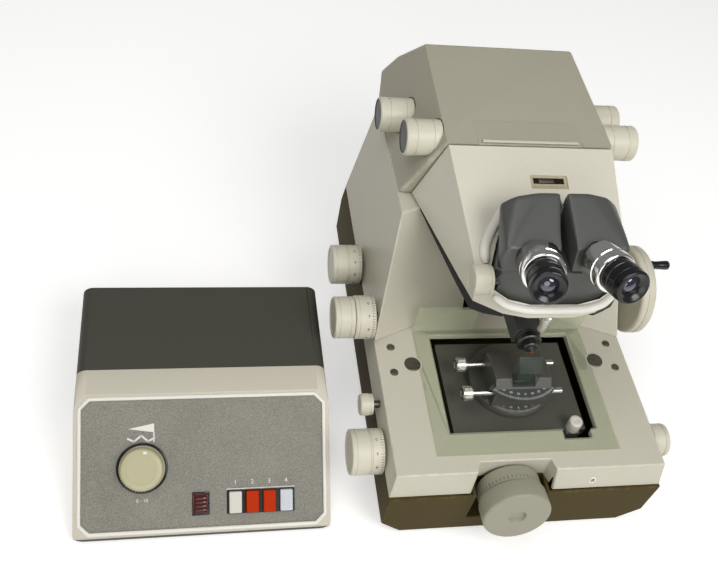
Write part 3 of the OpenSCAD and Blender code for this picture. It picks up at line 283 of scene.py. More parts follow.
paintTones = {  # colour, blotch, gloss, worn colour, worn, grime
    "creamPaint": ((203, 198, 180), 0.03, 0.44, (226, 222, 208), 0.35, 0.25),
    "hoodPaint": ((174, 169, 150), 0.03, 0.47, (214, 209, 192), 0.45, 0.25),
    # pale paint standing in for highlights: the ridge round the head, the panel's rim and the fascia washer
    "rimPaint": ((234, 231, 220), 0.02, 0.32, (240, 238, 230), 0.2, 0.12),
    # the arm's cream, lighter than the tower's cream: painted light for the arm's top that faces the lamps
    "armPaint": ((218, 213, 196), 0.03, 0.42, (232, 228, 215), 0.35, 0.2),
    "knobGrey": ((154, 151, 133), 0.03, 0.46, (196, 192, 176), 0.4, 0.3),
    "knobCream": ((212, 207, 188), 0.03, 0.40, (230, 226, 212), 0.4, 0.35),
    "plinthOlive": ((74, 62, 28), 0.06, 0.72, (112, 102, 68), 0.4, 0.3),
    "consoleDark": ((66, 65, 54), 0.04, 0.60, (92, 90, 78), 0.4, 0.3),
    "consoleCream": ((202, 195, 178), 0.02, 0.47, (230, 226, 212), 0.4, 0.2),
    "headGrey": ((79, 79, 76), 0.03, 0.36, (128, 126, 122), 0.35, 0.2),
    "slateIron": ((70, 72, 72), 0.06, 0.5, (120, 118, 112), 0.6, 0.3),
    "stageBlack": ((82, 82, 73), 0.05, 0.42, (112, 111, 102), 0.5, 0.3),
    "paleKnob": ((188, 182, 147), 0.03, 0.34, (214, 210, 180), 0.3, 0.25),
    "blackPlastic": ((20, 20, 21), 0.05, 0.22, (52, 52, 52), 0.3, 0.1),
    "footRubber": ((26, 26, 25), 0.08, 0.75, (56, 54, 50), 0.4, 0.3),
    "keyWhite": ((212, 208, 196), 0.02, 0.35, (236, 234, 228), 0.3, 0.2),
    "keyBlue": ((198, 202, 208), 0.02, 0.35, (232, 234, 238), 0.3, 0.15),
    "keyOrange": ((186, 48, 0), 0.04, 0.5, (194, 70, 14), 0.3, 0.2),
    "inkDark": ((34, 34, 34), 0.05, 0.5, (60, 60, 60), 0.2, 0.0),
    "inkPale": ((232, 230, 222), 0.03, 0.5, (240, 238, 232), 0.2, 0.0),
    "windowBrass": ((186, 177, 142), 0.05, 0.35, (210, 202, 168), 0.5, 0.2),
    "clearTray": ((206, 214, 178), 0.02, 0.12, (232, 242, 216), 0.5, 0.1),
    "knifeGlass": ((96, 108, 100), 0.02, 0.06, (180, 200, 190), 0.5, 0.1),
    "lampRed": ((74, 10, 8), 0.1, 0.16, (180, 60, 50), 0.2, 0.05),
    "lensPurple": ((34, 20, 52), 0.2, 0.06, (90, 70, 130), 0.0, 0.0),
}
ownShader = {  # bump, its depth in mm and the shader's own values, where they differ from plain paint
    "plinthOlive": (0.12, 0.15, {"Specular IOR Level": 0.2}),
    "keyOrange": (0.12, 0.15, {"Specular IOR Level": 0.08}),
    "clearTray": (0, 0, {"IOR": 1.45, "Transmission Weight": 0.0, "Alpha": 0.26}),
    "knifeGlass": (0, 0, {"IOR": 1.45, "Transmission Weight": 0.4, "Alpha": 0.42}),
    "lampRed": (0.05, 0.1, {"Coat Weight": 0.6}),
    "lensPurple": (0, 0, {"Coat Weight": 1.0, "Specular IOR Level": 0.9}),
}
for label, (tone, blotch, gloss, wornTone, worn, grime) in paintTones.items():
    makeFinish(label, paintSkin, {
        "Colour": sRgb(*tone), "Blotch": blotch, "Gloss": gloss, "Worn Colour": sRgb(*wornTone), "Worn": worn,
        "Grime": grime}, *ownShader.get(label, (0.12, 0.15, {})))
metalTones = {  # colour, stain colour, stain, gloss
    "brightSteel": ((196, 194, 186), (120, 112, 98), 0.3, 0.22),
    "chrome": ((234, 233, 230), (170, 166, 156), 0.2, 0.07),
    "darkSteel": ((92, 92, 90), (50, 46, 40), 0.4, 0.35),
    "plugSteel": ((132, 128, 116), (74, 68, 56), 0.5, 0.38),
}
for label, (tone, stainTone, stain, gloss) in metalTones.items():
    makeFinish(label, machinedSkin, {
        "Colour": sRgb(*tone), "Stain Colour": sRgb(*stainTone), "Stain": stain, "Gloss": gloss}, 0.08, 0.05,
        {"Metallic": 1.0})
makeFinish("panelGrey", panelSpeck, {"Colour": sRgb(126, 123, 112), "Fleck Colour": sRgb(184, 180, 168),
                                     "Scale": 1500.0, "Amount": 0.45}, 0.15, 0.08, {})
print("finishes made:", len(finish))

# mesh tools, all in millimetres until a piece is placed
weld = {"cad": 0.03, "housing": 0.01, "bevel": 0.001, "made": 0.0005}  # merge distances in mm
flatAngle = 0.6  # faces this many degrees apart are one


def newPiece(name, meshes, body, stands=()):
    piece = addObject(name, joinMeshes(name, meshes) if len(meshes) > 1 else meshes[0])
    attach(piece, body)
    if stands:
        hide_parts(*stands)


def replaceNode(node, name, *meshes):
    # the finished piece that stands for a node
    newPiece(name, meshes, bodyOf[node], [node])


def paintMesh(mesh, skin):
    mesh.materials.clear()
    mesh.materials.append(finish[skin])
    return mesh


def smoothUpTo(mesh, angle):
    for poly in mesh.polygons:
        poly.use_smooth = True
    mesh.set_sharp_from_angle(angle=radians(angle))


def settleNormals(mesh, angle):
    smoothUpTo(mesh, angle)
    carrier = addObject("normalCarrier", mesh)
    carrier.modifiers.new("weigh", "WEIGHTED_NORMAL").keep_sharp = True
    return evaluated(carrier)


def cadCopy(node, merge):
    bm = bmesh.new()
    bm.from_mesh(nodes[node].data)
    bmesh.ops.remove_doubles(bm, verts=bm.verts, dist=merge * mm)
    return bm


def plainMesh(bm, name):
    mesh = bpy.data.meshes.new(name)
    bm.to_mesh(mesh)
    bm.free()
    return mesh


def bevelledCopy(name, width, angle):
    # only edges with room for the bevel take one
    shortest, nearest = 4.0 * width * mm, 1.3 * width * mm
    bm = cadCopy(name, weld["cad"])
    bmesh.ops.dissolve_limit(bm, angle_limit=radians(flatAngle), verts=bm.verts, edges=bm.edges)
    wearLayer = bm.faces.layers.float.new("wear")
    chosen = []
    for e in bm.edges:
        if len(e.link_faces) != 2 or not e.calc_face_angle(0) > radians(angle) or e.calc_length() < shortest:
            continue
        if min(o.calc_length() for v in e.verts for o in v.link_edges if o is not e) >= nearest:
            chosen.append(e)
    if chosen:
        made = bmesh.ops.bevel(bm, geom=chosen, offset=width * mm, offset_type="OFFSET", segments=3,
                               profile=0.5, affect="EDGES", clamp_overlap=True)
        for f in made["faces"]:
            f[wearLayer] = 1.0
        bmesh.ops.remove_doubles(bm, verts=bm.verts, dist=weld["bevel"] * mm)
    return plainMesh(bm, name + "Dressed")


def latheInto(bm, rings, place, segments=72):
    # rings are height, radius and, where it isn't 0, the skin of the band that follows
    turns = [2 * pi * k / segments for k in range(segments)]
    loops = []
    for h, r, *skin in rings:
        spots = [(r * cos(t), r * sin(t), h) for t in turns] if r > 1e-6 else [(0, 0, h)]
        loops.append([bm.verts.new(place @ Vector(spot)) for spot in spots])
    for low, high, (h, r, *skin) in zip(loops, loops[1:], rings):
        if len(low) == 1 and len(high) == 1:
            continue
        for k in range(segments):
            n = (k + 1) % segments
            corners = [loop[i % len(loop)] for loop, i in ((low, k), (low, n), (high, n), (high, k))]
            bm.faces.new(list(dict.fromkeys(corners))).material_index = skin[0] if skin else 0


def meshFrom(bm, name, skins, angle=35):
    bmesh.ops.remove_doubles(bm, verts=bm.verts, dist=weld["made"])
    bmesh.ops.recalc_face_normals(bm, faces=bm.faces)
    mesh = plainMesh(bm, name)
    mesh.transform(toMetres)
    for skin in skins:
        mesh.materials.append(finish[skin])
    smoothUpTo(mesh, angle)
    return mesh


def formPiece(bm, name, skins, body, angle=35):
    newPiece(name, [meshFrom(bm, name, skins, angle)], body)


def turned(name, skins, *lathes):
    # one mesh from lathed forms, each with its rings, place and segments
    bm = bmesh.new()
    for lathe in lathes:
        latheInto(bm, *lathe)
    return meshFrom(bm, name, skins)


def roundOff(h0, r0, h1, r1, outward=True, steps=4):
    # quarter round between two profile points
    out = []
    for k in range(steps + 1):
        t = k / steps * pi / 2
        a, b = (1 - cos(t), sin(t)) if outward else (sin(t), 1 - cos(t))
        out.append((h0 + (h1 - h0) * a, r0 + (r1 - r0) * b))
    return out


def stackInto(bm, loops, skin=0, closed=False):
    # a form from loops, with both ends capped or joined
    for a, b in zip(loops, loops[1:] + loops[:1] if closed else loops[1:]):
        for k in range(len(a)):
            n = (k + 1) % len(a)
            bm.faces.new((a[k], a[n], b[n], b[k])).material_index = skin
    if not closed:
        bm.faces.new(loops[0][::-1]).material_index = skin
        bm.faces.new(loops[-1]).material_index = skin


def boxInto(bm, place, low, high, skin=0, ease=0.0):
    # a block whose upper edges can be eased
    (x0, y0, z0), (x1, y1, z1) = low, high
    layers = [(0, z0), (0, z1 - ease), (ease * 0.35, z1 - ease * 0.35), (ease, z1)] if ease else [(0, z0), (0, z1)]
    stackInto(bm, [[bm.verts.new(place @ Vector(p)) for p in (
        (x0 + e, y0 + e, z), (x1 - e, y0 + e, z), (x1 - e, y1 - e, z), (x0 + e, y1 - e, z))] for e, z in layers], skin)


def plateInto(bm, place, points, low, high):
    stackInto(bm, [[bm.verts.new(place @ Vector((x, y, z))) for x, y in points] for z in (low, high)])


def lineInto(bm, place, points, width, level, thick):
    for (x0, y0), (x1, y1) in zip(points, points[1:]):
        start = place @ shift(x0, y0, level) @ spin(atan2(y1 - y0, x1 - x0), "Z")
        run = hypot(x1 - x0, y1 - y0) + width / 2
        boxInto(bm, start, (-width / 2, -width / 2, 0), (run, width / 2, thick))


def tubeInto(bm, path, radius, sides, flat, taper, place=Matrix(), closed=False):
    loops = []
    count = len(path)
    turns = [2 * pi * k / sides for k in range(sides)]
    for i, p in enumerate(path):
        before, after = (i - 1, (i + 1) % count) if closed else (max(i - 1, 0), min(i + 1, count - 1))
        ahead = (path[after] - path[before]).normalized()
        across = ahead.cross(Vector((0, 0, 1))).normalized()
        up = across.cross(ahead).normalized()
        r = radius * taper[i]
        loops.append([bm.verts.new(place @ (p + across * (r * cos(t)) + up * (r * flat * sin(t)))) for t in turns])
    stackInto(bm, loops, closed=closed)


def smoothPath(points, each=6):
    points = [Vector(p) for p in points]
    out = []
    for i, (p1, p2) in enumerate(zip(points, points[1:])):
        p0, p3 = points[max(i - 1, 0)], points[min(i + 2, len(points) - 1)]
        for k in range(each):
            t = k / each
            out.append(0.5 * ((2 * p1) + (p2 - p0) * t + (2 * p0 - 5 * p1 + 4 * p2 - p3) * t * t
                              + (3 * p1 - p0 - 3 * p2 + p3) * t ** 3))
    return out + points[-1:]


def joinMeshes(name, meshes):
    bm = bmesh.new()
    skins = []
    for mesh in meshes:
        start = len(bm.faces)
        bm.from_mesh(mesh)
        bm.faces.ensure_lookup_table()
        for m in mesh.materials:
            if m not in skins:
                skins.append(m)
        index = [skins.index(m) for m in mesh.materials]
        for f in bm.faces[start:]:
            f.material_index = index[f.material_index]
    made = plainMesh(bm, name)
    for m in skins:
        made.materials.append(m)
    return made


def along(side, x, y, z):
    # local Z points out along X on one side
    return shift(side * x, y, z) @ spin(side * pi / 2, "Y")


# node trees for what repeats
def newTree(name, inputs):
    g = Graph(bpy.data.node_groups.new(name, "GeometryNodeTree"), inputs, Geometry="Geometry")
    return g, g.add("NodeGroupInput")


def markTree():
    g, given = newTree("markRing", {
        "Count": 40, "Radius": 20.0, "Start": 0.0, "Step": 0.1, "Level": 0.0, "Deep": 0.4, "Wide": 0.4, "Tall": 3.0,
        "Every": 5, "Long Deep": 1.0, "Long Tall": 1.0, "Skin": "Material"})
    index = g.add("GeometryNodeInputIndex")[0]
    angle = g.plus(given["Start"], g.times(index, given["Step"]))
    x, y = (g.times(g.math(op, angle, 0), given["Radius"]) for op in ("COSINE", "SINE"))
    spot = g.triple(x, y, given["Level"])
    points = g.add("GeometryNodePoints", {"Count": given["Count"], "Position": spot})
    main = g.math("COMPARE", g.math("MODULO", index, given["Every"]), 0)
    deep, tall = (g.plus(1.0, g.times(main, g.math("SUBTRACT", given[label], 1.0)))
                  for label in ("Long Deep", "Long Tall"))
    cube = g.add("GeometryNodeMeshCube", {"Size": g.triple(given["Deep"], given["Wide"], given["Tall"])})
    return g.copies(points[0], cube["Mesh"], given["Skin"], Rotation=g.triple(0, 0, angle),
                    Scale=g.triple(deep, 1.0, tall))


def screwTree():
    g, given = newTree("screwRow", {
        "Geometry": "Geometry", "Diameter": 6.0, "Height": 1.2, "Slot": 0.9, "Turn": 0.7, "Seed": 3,
        "Skin": "Material", "Slot Skin": "Material"})
    crown, half, long = (g.times(given["Diameter"], part) for part in (0.4, 0.5, 0.78))
    cone = g.add("GeometryNodeMeshCone", {"Vertices": 24, "Radius Top": crown, "Radius Bottom": half,
                                          "Depth": given["Height"]})
    head = g.add("GeometryNodeSetMaterial", {"Geometry": cone["Mesh"], "Material": given["Skin"]})
    bar = g.add("GeometryNodeMeshCube", {"Size": g.triple(long, given["Slot"], 0.3)})
    raised = g.add("GeometryNodeTransform", {
        "Geometry": bar["Mesh"], "Translation": g.triple(0, 0, g.math("SUBTRACT", given["Height"], 0.12))})
    slot = g.add("GeometryNodeSetMaterial", {"Geometry": raised[0], "Material": given["Slot Skin"]})
    screw = g.add("GeometryNodeJoinGeometry", {0: [head[0], slot[0]]})
    turn = g.add("FunctionNodeRandomValue", {3: given["Turn"], "Seed": given["Seed"]}, data_type="FLOAT")[1]
    # both skins are on already, so the last one is given to nothing
    return g.copies(given["Geometry"], screw[0], given["Skin"], False, Rotation=g.triple(0, 0, turn))


markRing = markTree()
screwRow = screwTree()


def runTree(tree, values, place, points=()):
    base = bpy.data.meshes.new("treeBase")
    base.from_pydata(points, [], [])
    carrier = addObject("treeCarrier", base)
    mod = carrier.modifiers.new("tree", "NODES")
    mod.node_group = tree
    for item in tree.interface.items_tree:
        if item.item_type == "SOCKET" and item.in_out == "INPUT" and item.name in values:
            mod[item.identifier] = values[item.name]
    mesh = evaluated(carrier)
    mesh.transform(toMetres @ place)
    return mesh


def marks(place, count, radius, level, deep, wide, tall, skin, sweep=None, start=0.0, longDeep=1.0, longTall=1.0):
    # a ring of marks or, with a sweep, an arc; every fifth can be longer
    step = sweep / (count - 1) if sweep else 2 * pi / count
    return runTree(markRing, {"Count": count, "Radius": radius, "Start": start, "Step": step, "Level": level,
                              "Deep": deep, "Wide": wide, "Tall": tall, "Every": 5, "Long Deep": longDeep,
                              "Long Tall": longTall, "Skin": finish[skin]}, place)


def screws(place, spots, height, seed, diameter=7):
    return runTree(screwRow, {"Diameter": diameter, "Height": height, "Slot": diameter * 0.16, "Turn": 3.1,
                              "Seed": seed, "Skin": finish["plugSteel"], "Slot Skin": finish["inkDark"]}, place,
                   [(x, y, 0) for x, y in spots])


def figure(text, size, skin, place):
    curve = bpy.data.curves.new("figure", "FONT")
    curve.body, curve.size, curve.extrude, curve.resolution_u = text, size, 0.06, 3
    curve.align_x = curve.align_y = "CENTER"
    mesh = paintMesh(evaluated(addObject("figure", curve)), skin)
    mesh.transform(toMetres @ place)
    return mesh


def drumFigures(place, radius, level, size, side):
    # 0 to 9 round a drum, read from the front: right along X, up along the turn
    turn = Matrix(((0, 0, 1, 0), (0, -side, 0, 0), (side, 0, 0, 0), (0, 0, 0, 1)))
    return [figure(str(i), size, "inkDark", place @ spin(2 * pi * i / 10, "Z") @ shift(radius, 0, level) @ turn)
            for i in range(10)]


def angleScale(place, radius, level, start, sweep, ticks, inset, size):
    # degrees on an arc: 40 to 0 to 40, with a tick's inset, depth, width and the longer ticks' factor
    tickIn, deep, wide, longer = ticks
    made = [marks(place, 41, radius - tickIn, level, deep, wide, 0.1, "inkPale", radians(sweep), radians(start),
                  longDeep=longer)]
    for i in range(9):
        spot = place @ shift(0, 0, level + 0.01) @ spin(radians(start + sweep * i / 8), "Z")
        spot = spot @ shift(radius - inset, 0, 0) @ spin(pi / 2, "Z")
        made.append(figure(str(abs(40 - 10 * i)), size, "inkPale", spot))
    return made


def makeTurned(node, name, skins, knurl, *lathes):
    # a lathed piece, knurled: count, radius, level, depth, width and height of the ridges
    place = lathes[0][1]
    replaceNode(node, name, turned(name, skins, *lathes), marks(place, *knurl, skins[0]))


print("tools and node trees ready")

# covers
coverSizes = {  # finish, bevel width in mm, least edge angle and, if it isn't 38, the angle kept sharp
    "base_plinth": ("plinthOlive", 1.6, 30), "deck_housing": ("creamPaint", 1.8, 25),
    "tower_shell": ("creamPaint", 3.0, 12), "rear_cover": ("creamPaint", 0.8, 30), "hood": ("hoodPaint", 5.0, 20),
    "hood_lid": ("hoodPaint", 0.5, 30), "arm_shell": ("armPaint", 1.0, 40, 24),
    "microscope_body": ("headGrey", 1.6, 12), "unit_base": ("consoleDark", 0.6, 30),
    "unit_cover": ("consoleDark", 1.2, 30), "unit_bezel": ("consoleCream", 1.2, 30),
    "unit_panel": ("panelGrey", 0.4, 30), "main_frame": ("slateIron", 0.8, 30), "stage_bed": ("slateIron", 0.8, 30),
    "stage_saddle": ("slateIron", 0.8, 30), "stage_top_slide": ("stageBlack", 0.8, 30),
    "knife_holder": ("stageBlack", 0.8, 25), "specimen_arm": ("slateIron", 1.0, 30), "knife": ("knifeGlass", 0.3, 30),
    "scale_window": ("windowBrass", 0.3, 30), "switch_body": ("blackPlastic", 0.3, 30),
    "indicator_lamp": ("lampRed", 0.8, 30), "button_1": ("keyWhite", 1.0, 30), "button_2": ("keyOrange", 1.0, 30),
    "button_3": ("keyOrange", 1.0, 30), "button_4": ("keyBlue", 1.0, 30), "drive_motor": ("blackPlastic", 0.8, 30)}
for name, (skin, width, angle, *sharp) in coverSizes.items():
    mesh = settleNormals(bevelledCopy(name, width, angle), *(sharp or [38]))
    replaceNode(name, name + "Dressed", paintMesh(mesh, skin))
tray = paintMesh(bevelledCopy("drip_tray", 0.3, 179), "clearTray")  # flat faces, no bevels
for poly in tray.polygons:
    poly.use_smooth = False
replaceNode("drip_tray", "trayDressed", tray)
print("covers dressed:", len(coverSizes) + 1)

keptNodes = {
    "rubber_feet": "footRubber", "deck_plugs": "plugSteel", "pivot_pins": "brightSteel", "drive_belt": "footRubber",
    "crank_shaft": "brightSteel", "speed_control": "blackPlastic", "unit_socket": "blackPlastic"}
for name, skin in keptNodes.items():
    materials = nodes[name].data.materials
    for i in range(len(materials)):
        materials[i] = finish[skin]
    if not materials:
        materials.append(finish[skin])
print("plain nodes finished:", len(keptNodes))


# knobs on the sides, turned on the lathe
def knobRings(length, radius, shaft, grooves, capSkin, edge=1.8, cap=0.8):
    # from the inner face out
    rings = [(0, shaft)] + roundOff(0, radius - 1.0, 1.0, radius)
    for g in grooves:
        rings += [(g - 0.55, radius), (g - 0.35, radius - 0.7), (g + 0.35, radius - 0.7), (g + 0.55, radius)]
    rings += roundOff(length - edge, radius, length, radius - edge, False)
    inner, floor = radius * (0.9 if capSkin else 0.8), length - cap
    face = [(length, inner), (floor, inner - 0.5), (floor, radius * 0.3), (floor + 0.2, radius * 0.12),
            (floor + 0.2, 0)]
    return [(h, r, 0) for h, r in rings] + [(h, r, capSkin) for h, r in face]


def turnedKnob(name, ends, axisY, axisZ, shaft, bore):
    # ends: side, inner x, length, radius, grooves, cap skin
    skins, bare = ["knobCream", "slateIron", "darkSteel"], 2
    low, high = boxOf(name)
    if len(ends) == 2:
        rings = []
        for side, x, length, radius, grooves, capSkin in ends:
            part = [(side * (x + h), r, s) for h, r, s in knobRings(length, radius, shaft, grooves, capSkin)]
            if side < 0:  # run the other way, each band keeps its skin
                part = [(h, r, skin) for (h, r, s), skin in zip(part[::-1], [s for h, r, s in part[-2::-1]] + [bare])]
            rings += part
        return turned(name, skins, (rings, along(1, 0, axisY, axisZ)))
    side, x, length, radius, grooves, capSkin = ends[0]
    start = -x - (high.x if side < 0 else -low.x)
    rings = [(start, bore, bare), (start, shaft, bare)] + knobRings(length, radius, shaft, grooves, capSkin)
    if bore:
        rings = rings[:-3] + [(rings[-3][0], bore), (start, bore)]
    return turned(name, skins, (rings, along(side, x, axisY, axisZ)))


hoodEnd = (38, 19, (9, 27), 1, 0, 0)
drumEnd = (19, 14.5, (3.2,), 0, 48, 0)
sideKnobs = {  # axis y, axis z, shaft radius, bore, [side, length, radius, grooves, cap skin, knurl, scale]
    "focus_shaft": (86, 296, 5, 0, [(-1, *hoodEnd), (1, *hoodEnd)]),
    "tilt_shaft": (155, 268, 5, 0, [(-1, *hoodEnd), (1, *hoodEnd)]),
    "magnification_drum": (-86.5, 271, 5, 0, [(-1, *drumEnd), (1, *drumEnd)]),
    "cross_shaft": (-158, 77, 5, 0, [(-1, 34, 24, (13, 15, 29), 0, 0, 1), (1, 23, 18, (4, 17), 0, 0, 0)]),
    "window_knob": (72, 110, 5, 0, [(-1, 34, 23, (15, 17, 29), 0, 0, 1)]),
    "coarse_feed_knob": (-18, 125, 6, 3.6, [(-1, 22, 24, (4, 18), 0, 0, 1)]),
    "fine_feed_knob": (-18, 125, 3.5, 0, [(-1, 22, 23, (5, 17), 0, 0, 0)]),
    "stage_clamp_knob": (-110.5, 93, 4, 0, [(-1, 14, 11.5, (3,), 0, 36, 0)]),
}
for name, (y, z, shaft, bore, ends) in sideKnobs.items():
    low, high = boxOf(name)
    outer = {-1: -low.x, 1: high.x}
    made = [turnedKnob(name, [(side, outer[side] - length, length, *rest[:3]) for side, length, *rest in ends],
                       y, z, shaft, bore)]
    for side, length, radius, grooves, capSkin, knurl, scale in ends:
        place = along(side, outer[side] - length, y, z)
        last = grooves[-1]
        if knurl:
            low, high = last + 1.2, length - 2.2
            made.append(marks(place, knurl, radius - 0.05, (low + high) / 2, 0.5, radius * 0.075, high - low,
                              "knobCream"))
        elif not scale:
            made.append(marks(place, 56, radius - 0.06, (last + length) / 2, 0.35, radius * 0.06,
                              max(1.5, length - last - 4.2), "knobCream"))
        if scale:
            made.append(marks(place, 50, radius, 2.6, 0.12, 0.45, 2.4, "inkDark", longTall=1.7))
            made += drumFigures(place, radius + 0.02, 8.4, 4.6, side)
    replaceNode(name, name + "Turned", *made)
print("side knobs turned:", len(sideKnobs))

# front knob: a coarse ring behind a fine knob
frontKnob = {"place": (-18, -239, 75), "tilt": 10, "fineR": 36, "fineL": 22, "coarseR": 34, "coarseL": 18,
             "behind": 22.5, "fineShaft": 3.5, "bore": 3.6, "coarseShaft": 6}


def makeFrontKnob(k):
    fineEnd, coarseEnd = ((boxOf(node)[1].y - k["place"][1]) / cos(radians(k["tilt"]))
                          for node in ("front_fine_knob", "front_coarse_knob"))
    front = shift(*k["place"]) @ spin(-radians(90 + k["tilt"]), "X")
    r, l, shaft, end = k["fineR"], k["fineL"], k["fineShaft"], fineEnd - 1.2
    rings = [(3.0, 0), (3.0, 8.0), (2.2, 8.6), (0.6, 9.0), (0, 9.6), (0, r - 3.2)] + roundOff(0, r - 3.0, 3.0, r)
    rings += [(l - 2, r)] + roundOff(l - 2, r, l, r - 2, False) + [(l, shaft), (end, shaft), (end, 0)]
    replaceNode("front_fine_knob", "frontFineTurned", turned("fineKnob", ["knobGrey"], (rings, front, 96)))
    r, l, shaft, bore, end = k["coarseR"], k["coarseL"], k["coarseShaft"], k["bore"], coarseEnd - k["behind"] - 1.6
    rings = [(0, bore)] + roundOff(0, r - 1.5, 1.5, r) + roundOff(l - 1.5, r, l, r - 1.5, False)
    rings += [(l, shaft), (end, shaft), (end, bore), (0, bore)]
    place = front @ shift(0, 0, k["behind"])
    replaceNode("front_coarse_knob", "frontCoarseTurned", turned("coarseKnob", ["knobGrey"], (rings, place, 96)),
                marks(place, 50, r, 4.2, 0.14, 0.5, 3.0, "inkDark", longTall=1.8))


makeFrontKnob(frontKnob)
print("front knob turned")

# handwheel and its grip
wheel = {"y": 23, "z": 122, "r": 52.5, "t": 18, "web": 8, "rim": 8, "hub": 11, "shaft": 6, "pulley": 8, "groove": 7.4,
         "handleR": 42, "angle": 88, "spindle": 3, "bore": 3.1, "gap": 0.3}


def makeWheel(w):
    start, end = (v.x for v in boxOf("handwheel"))
    gripStart, gripEnd = (v.x for v in boxOf("handle_grip"))
    back = gripStart - w["gap"] - w["t"]
    y, z, r, t, web, hub, shaft = (w[key] for key in ("y", "z", "r", "t", "web", "hub", "shaft"))
    inner = r - w["rim"]
    rings = [(0, 0), (0, r - 5)] + roundOff(0, r - 4, 4, r) + [(6.6, r), (7.0, r - 0.8), (8.0, r - 0.8), (8.4, r)]
    rings += roundOff(t - 4, r, t, r - 4, False) + roundOff(t, inner + 2, t - 2, inner)[1:]
    rings += [(web + 2, inner), (web, inner - 2.5), (web, hub + 5), (web + 1.2, hub + 4), (web + 1.2, hub),
              (web + 7, hub), (web + 8, hub - 1), (web + 8, 6.2, 1), (web + 7.2, 5.6, 1), (web + 7.2, 0, 1)]
    run, pulley, groove = back - start + 4, w["pulley"], w["groove"]
    axle = [(0, 0), (0, shaft), (4, shaft), (4, pulley), (5, groove), (11, groove), (12, pulley), (12, shaft),
            (run, shaft), (run, 0)]
    handleY = y + w["handleR"] * cos(radians(w["angle"]))
    handleZ = z + w["handleR"] * sin(radians(w["angle"]))
    tip, spindle = end - back, w["spindle"]
    handle = [(web - 1, 0), (web - 1, 6.5), (web + 1, 5.5), (t, 5.5), (t, spindle, 1), (tip - 0.4, spindle, 1),
              (tip, spindle - 0.4, 1), (tip, 0, 1)]
    makeTurned("handwheel", "handwheelTurned", ["knobCream", "brightSteel"], (72, r - 0.06, 13.0, 0.3, 1.5, 5.0),
               (rings, along(1, back, y, z), 96), ([(h, radius, 1) for h, radius in axle], along(1, start, y, z), 40),
               (handle, along(1, back, handleY, handleZ), 32))
    l, bore = gripEnd - gripStart, w["bore"]
    rings = [(l - 3.7, 0), (l - 3.7, bore), (0, bore), (0, 4.6), (0.8, 5.2), (3, 5.3), (8, 4.7), (14, 5.0),
             (l - 4, 5.5), (l - 1.2, 5.2), (l, 4.0), (l, 1.4, 1), (l - 0.6, 1.2, 1), (l - 0.6, 0, 1)]
    replaceNode("handle_grip", "gripTurned", turned("gripTurned", ["blackPlastic", "brightSteel"],
                                                    (rings, along(1, gripStart, handleY, handleZ), 48)))


makeWheel(wheel)
print("handwheel turned")

# prism housings: cast forms with rounded edges, kept true at the seat and below
housing = {"voxel": 1.1, "rounds": 34, "step": 0.5, "seat": 23.0, "ease": 9.0, "foot": 289.3, "rise": 6.0,
           "under": 288.35, "bore": 20.9, "boreFrom": 17, "stem": 14.4, "stemFrom": 11, "ledge": 56.0, "slack": 0.6}
eye = {"x": 40, "y": -143.5, "z": 326, "tilt": 20, "turn": 11, "r": 17.5, "barrel": 27, "collarR": 20.5,
       "collar": 28.8, "stem": 14, "stemL": 12}


def onEye(side, e):
    turn = spin(side * radians(e["turn"]), "Z") @ spin(-radians(90 + e["tilt"]), "X")
    return shift(side * e["x"], e["y"], e["z"]) @ turn


def carry(points, matrix):
    return points @ matrix[:3, :3].T + matrix[:3, 3]


def makeHousing(side, name, h):
    temp = addObject("housingGrid", plainMesh(cadCopy(name, weld["housing"]), "housingGrid"))
    remesh = temp.modifiers.new("grid", "REMESH")
    remesh.mode, remesh.voxel_size = "VOXEL", h["voxel"] * mm
    cast = evaluated(temp)
    where = np.empty(len(cast.vertices) * 3)
    cast.vertices.foreach_get("co", where)
    where = where.reshape(-1, 3)
    ends = np.empty(len(cast.edges) * 2, dtype=int)
    cast.edges.foreach_get("vertices", ends)
    one, other = ends.reshape(-1, 2).T
    inward = np.array((Matrix.Diagonal((mm, mm, mm, 1)) @ onEye(side, eye)).inverted())
    local = carry(where, inward)
    free = np.clip((np.hypot(local[:, 0], local[:, 1]) - h["seat"]) / h["ease"], 0, 1)
    free *= np.clip((where[:, 2] / mm - h["foot"]) / h["rise"], 0, 1)
    degree = np.bincount(ends, minlength=len(where))[:, None]
    for turn in range(h["rounds"]):
        total = np.zeros_like(where)
        np.add.at(total, one, where[other])
        np.add.at(total, other, where[one])
        where = where + (total / degree - where) * (free * h["step"])[:, None]
    local = carry(where, inward)  # room for the eyepiece's collar and stem
    reach, depth, ledge, slack = np.hypot(local[:, 0], local[:, 1]), local[:, 2], h["ledge"], h["slack"]
    deep = depth > ledge - slack
    wide = np.where(~deep & (reach > h["boreFrom"]) & (reach < h["bore"]), h["bore"], reach)
    wide = np.where((depth > ledge + slack) & (reach > h["stemFrom"]) & (reach < h["stem"]), h["stem"], wide)
    local[:, :2] *= (wide / np.maximum(reach, 0.001))[:, None]
    onLedge = deep & (reach > h["stem"] - 0.5) & (reach < h["bore"])
    local[:, 2] = np.where(onLedge, np.maximum(depth, ledge + 0.15), depth)
    where = carry(local, np.linalg.inv(inward))
    where[:, 2] = np.maximum(where[:, 2], h["under"] * mm)
    cast.vertices.foreach_set("co", where.ravel())
    replaceNode(name, name + "Cast", paintMesh(settleNormals(cast, 60), "headGrey"))


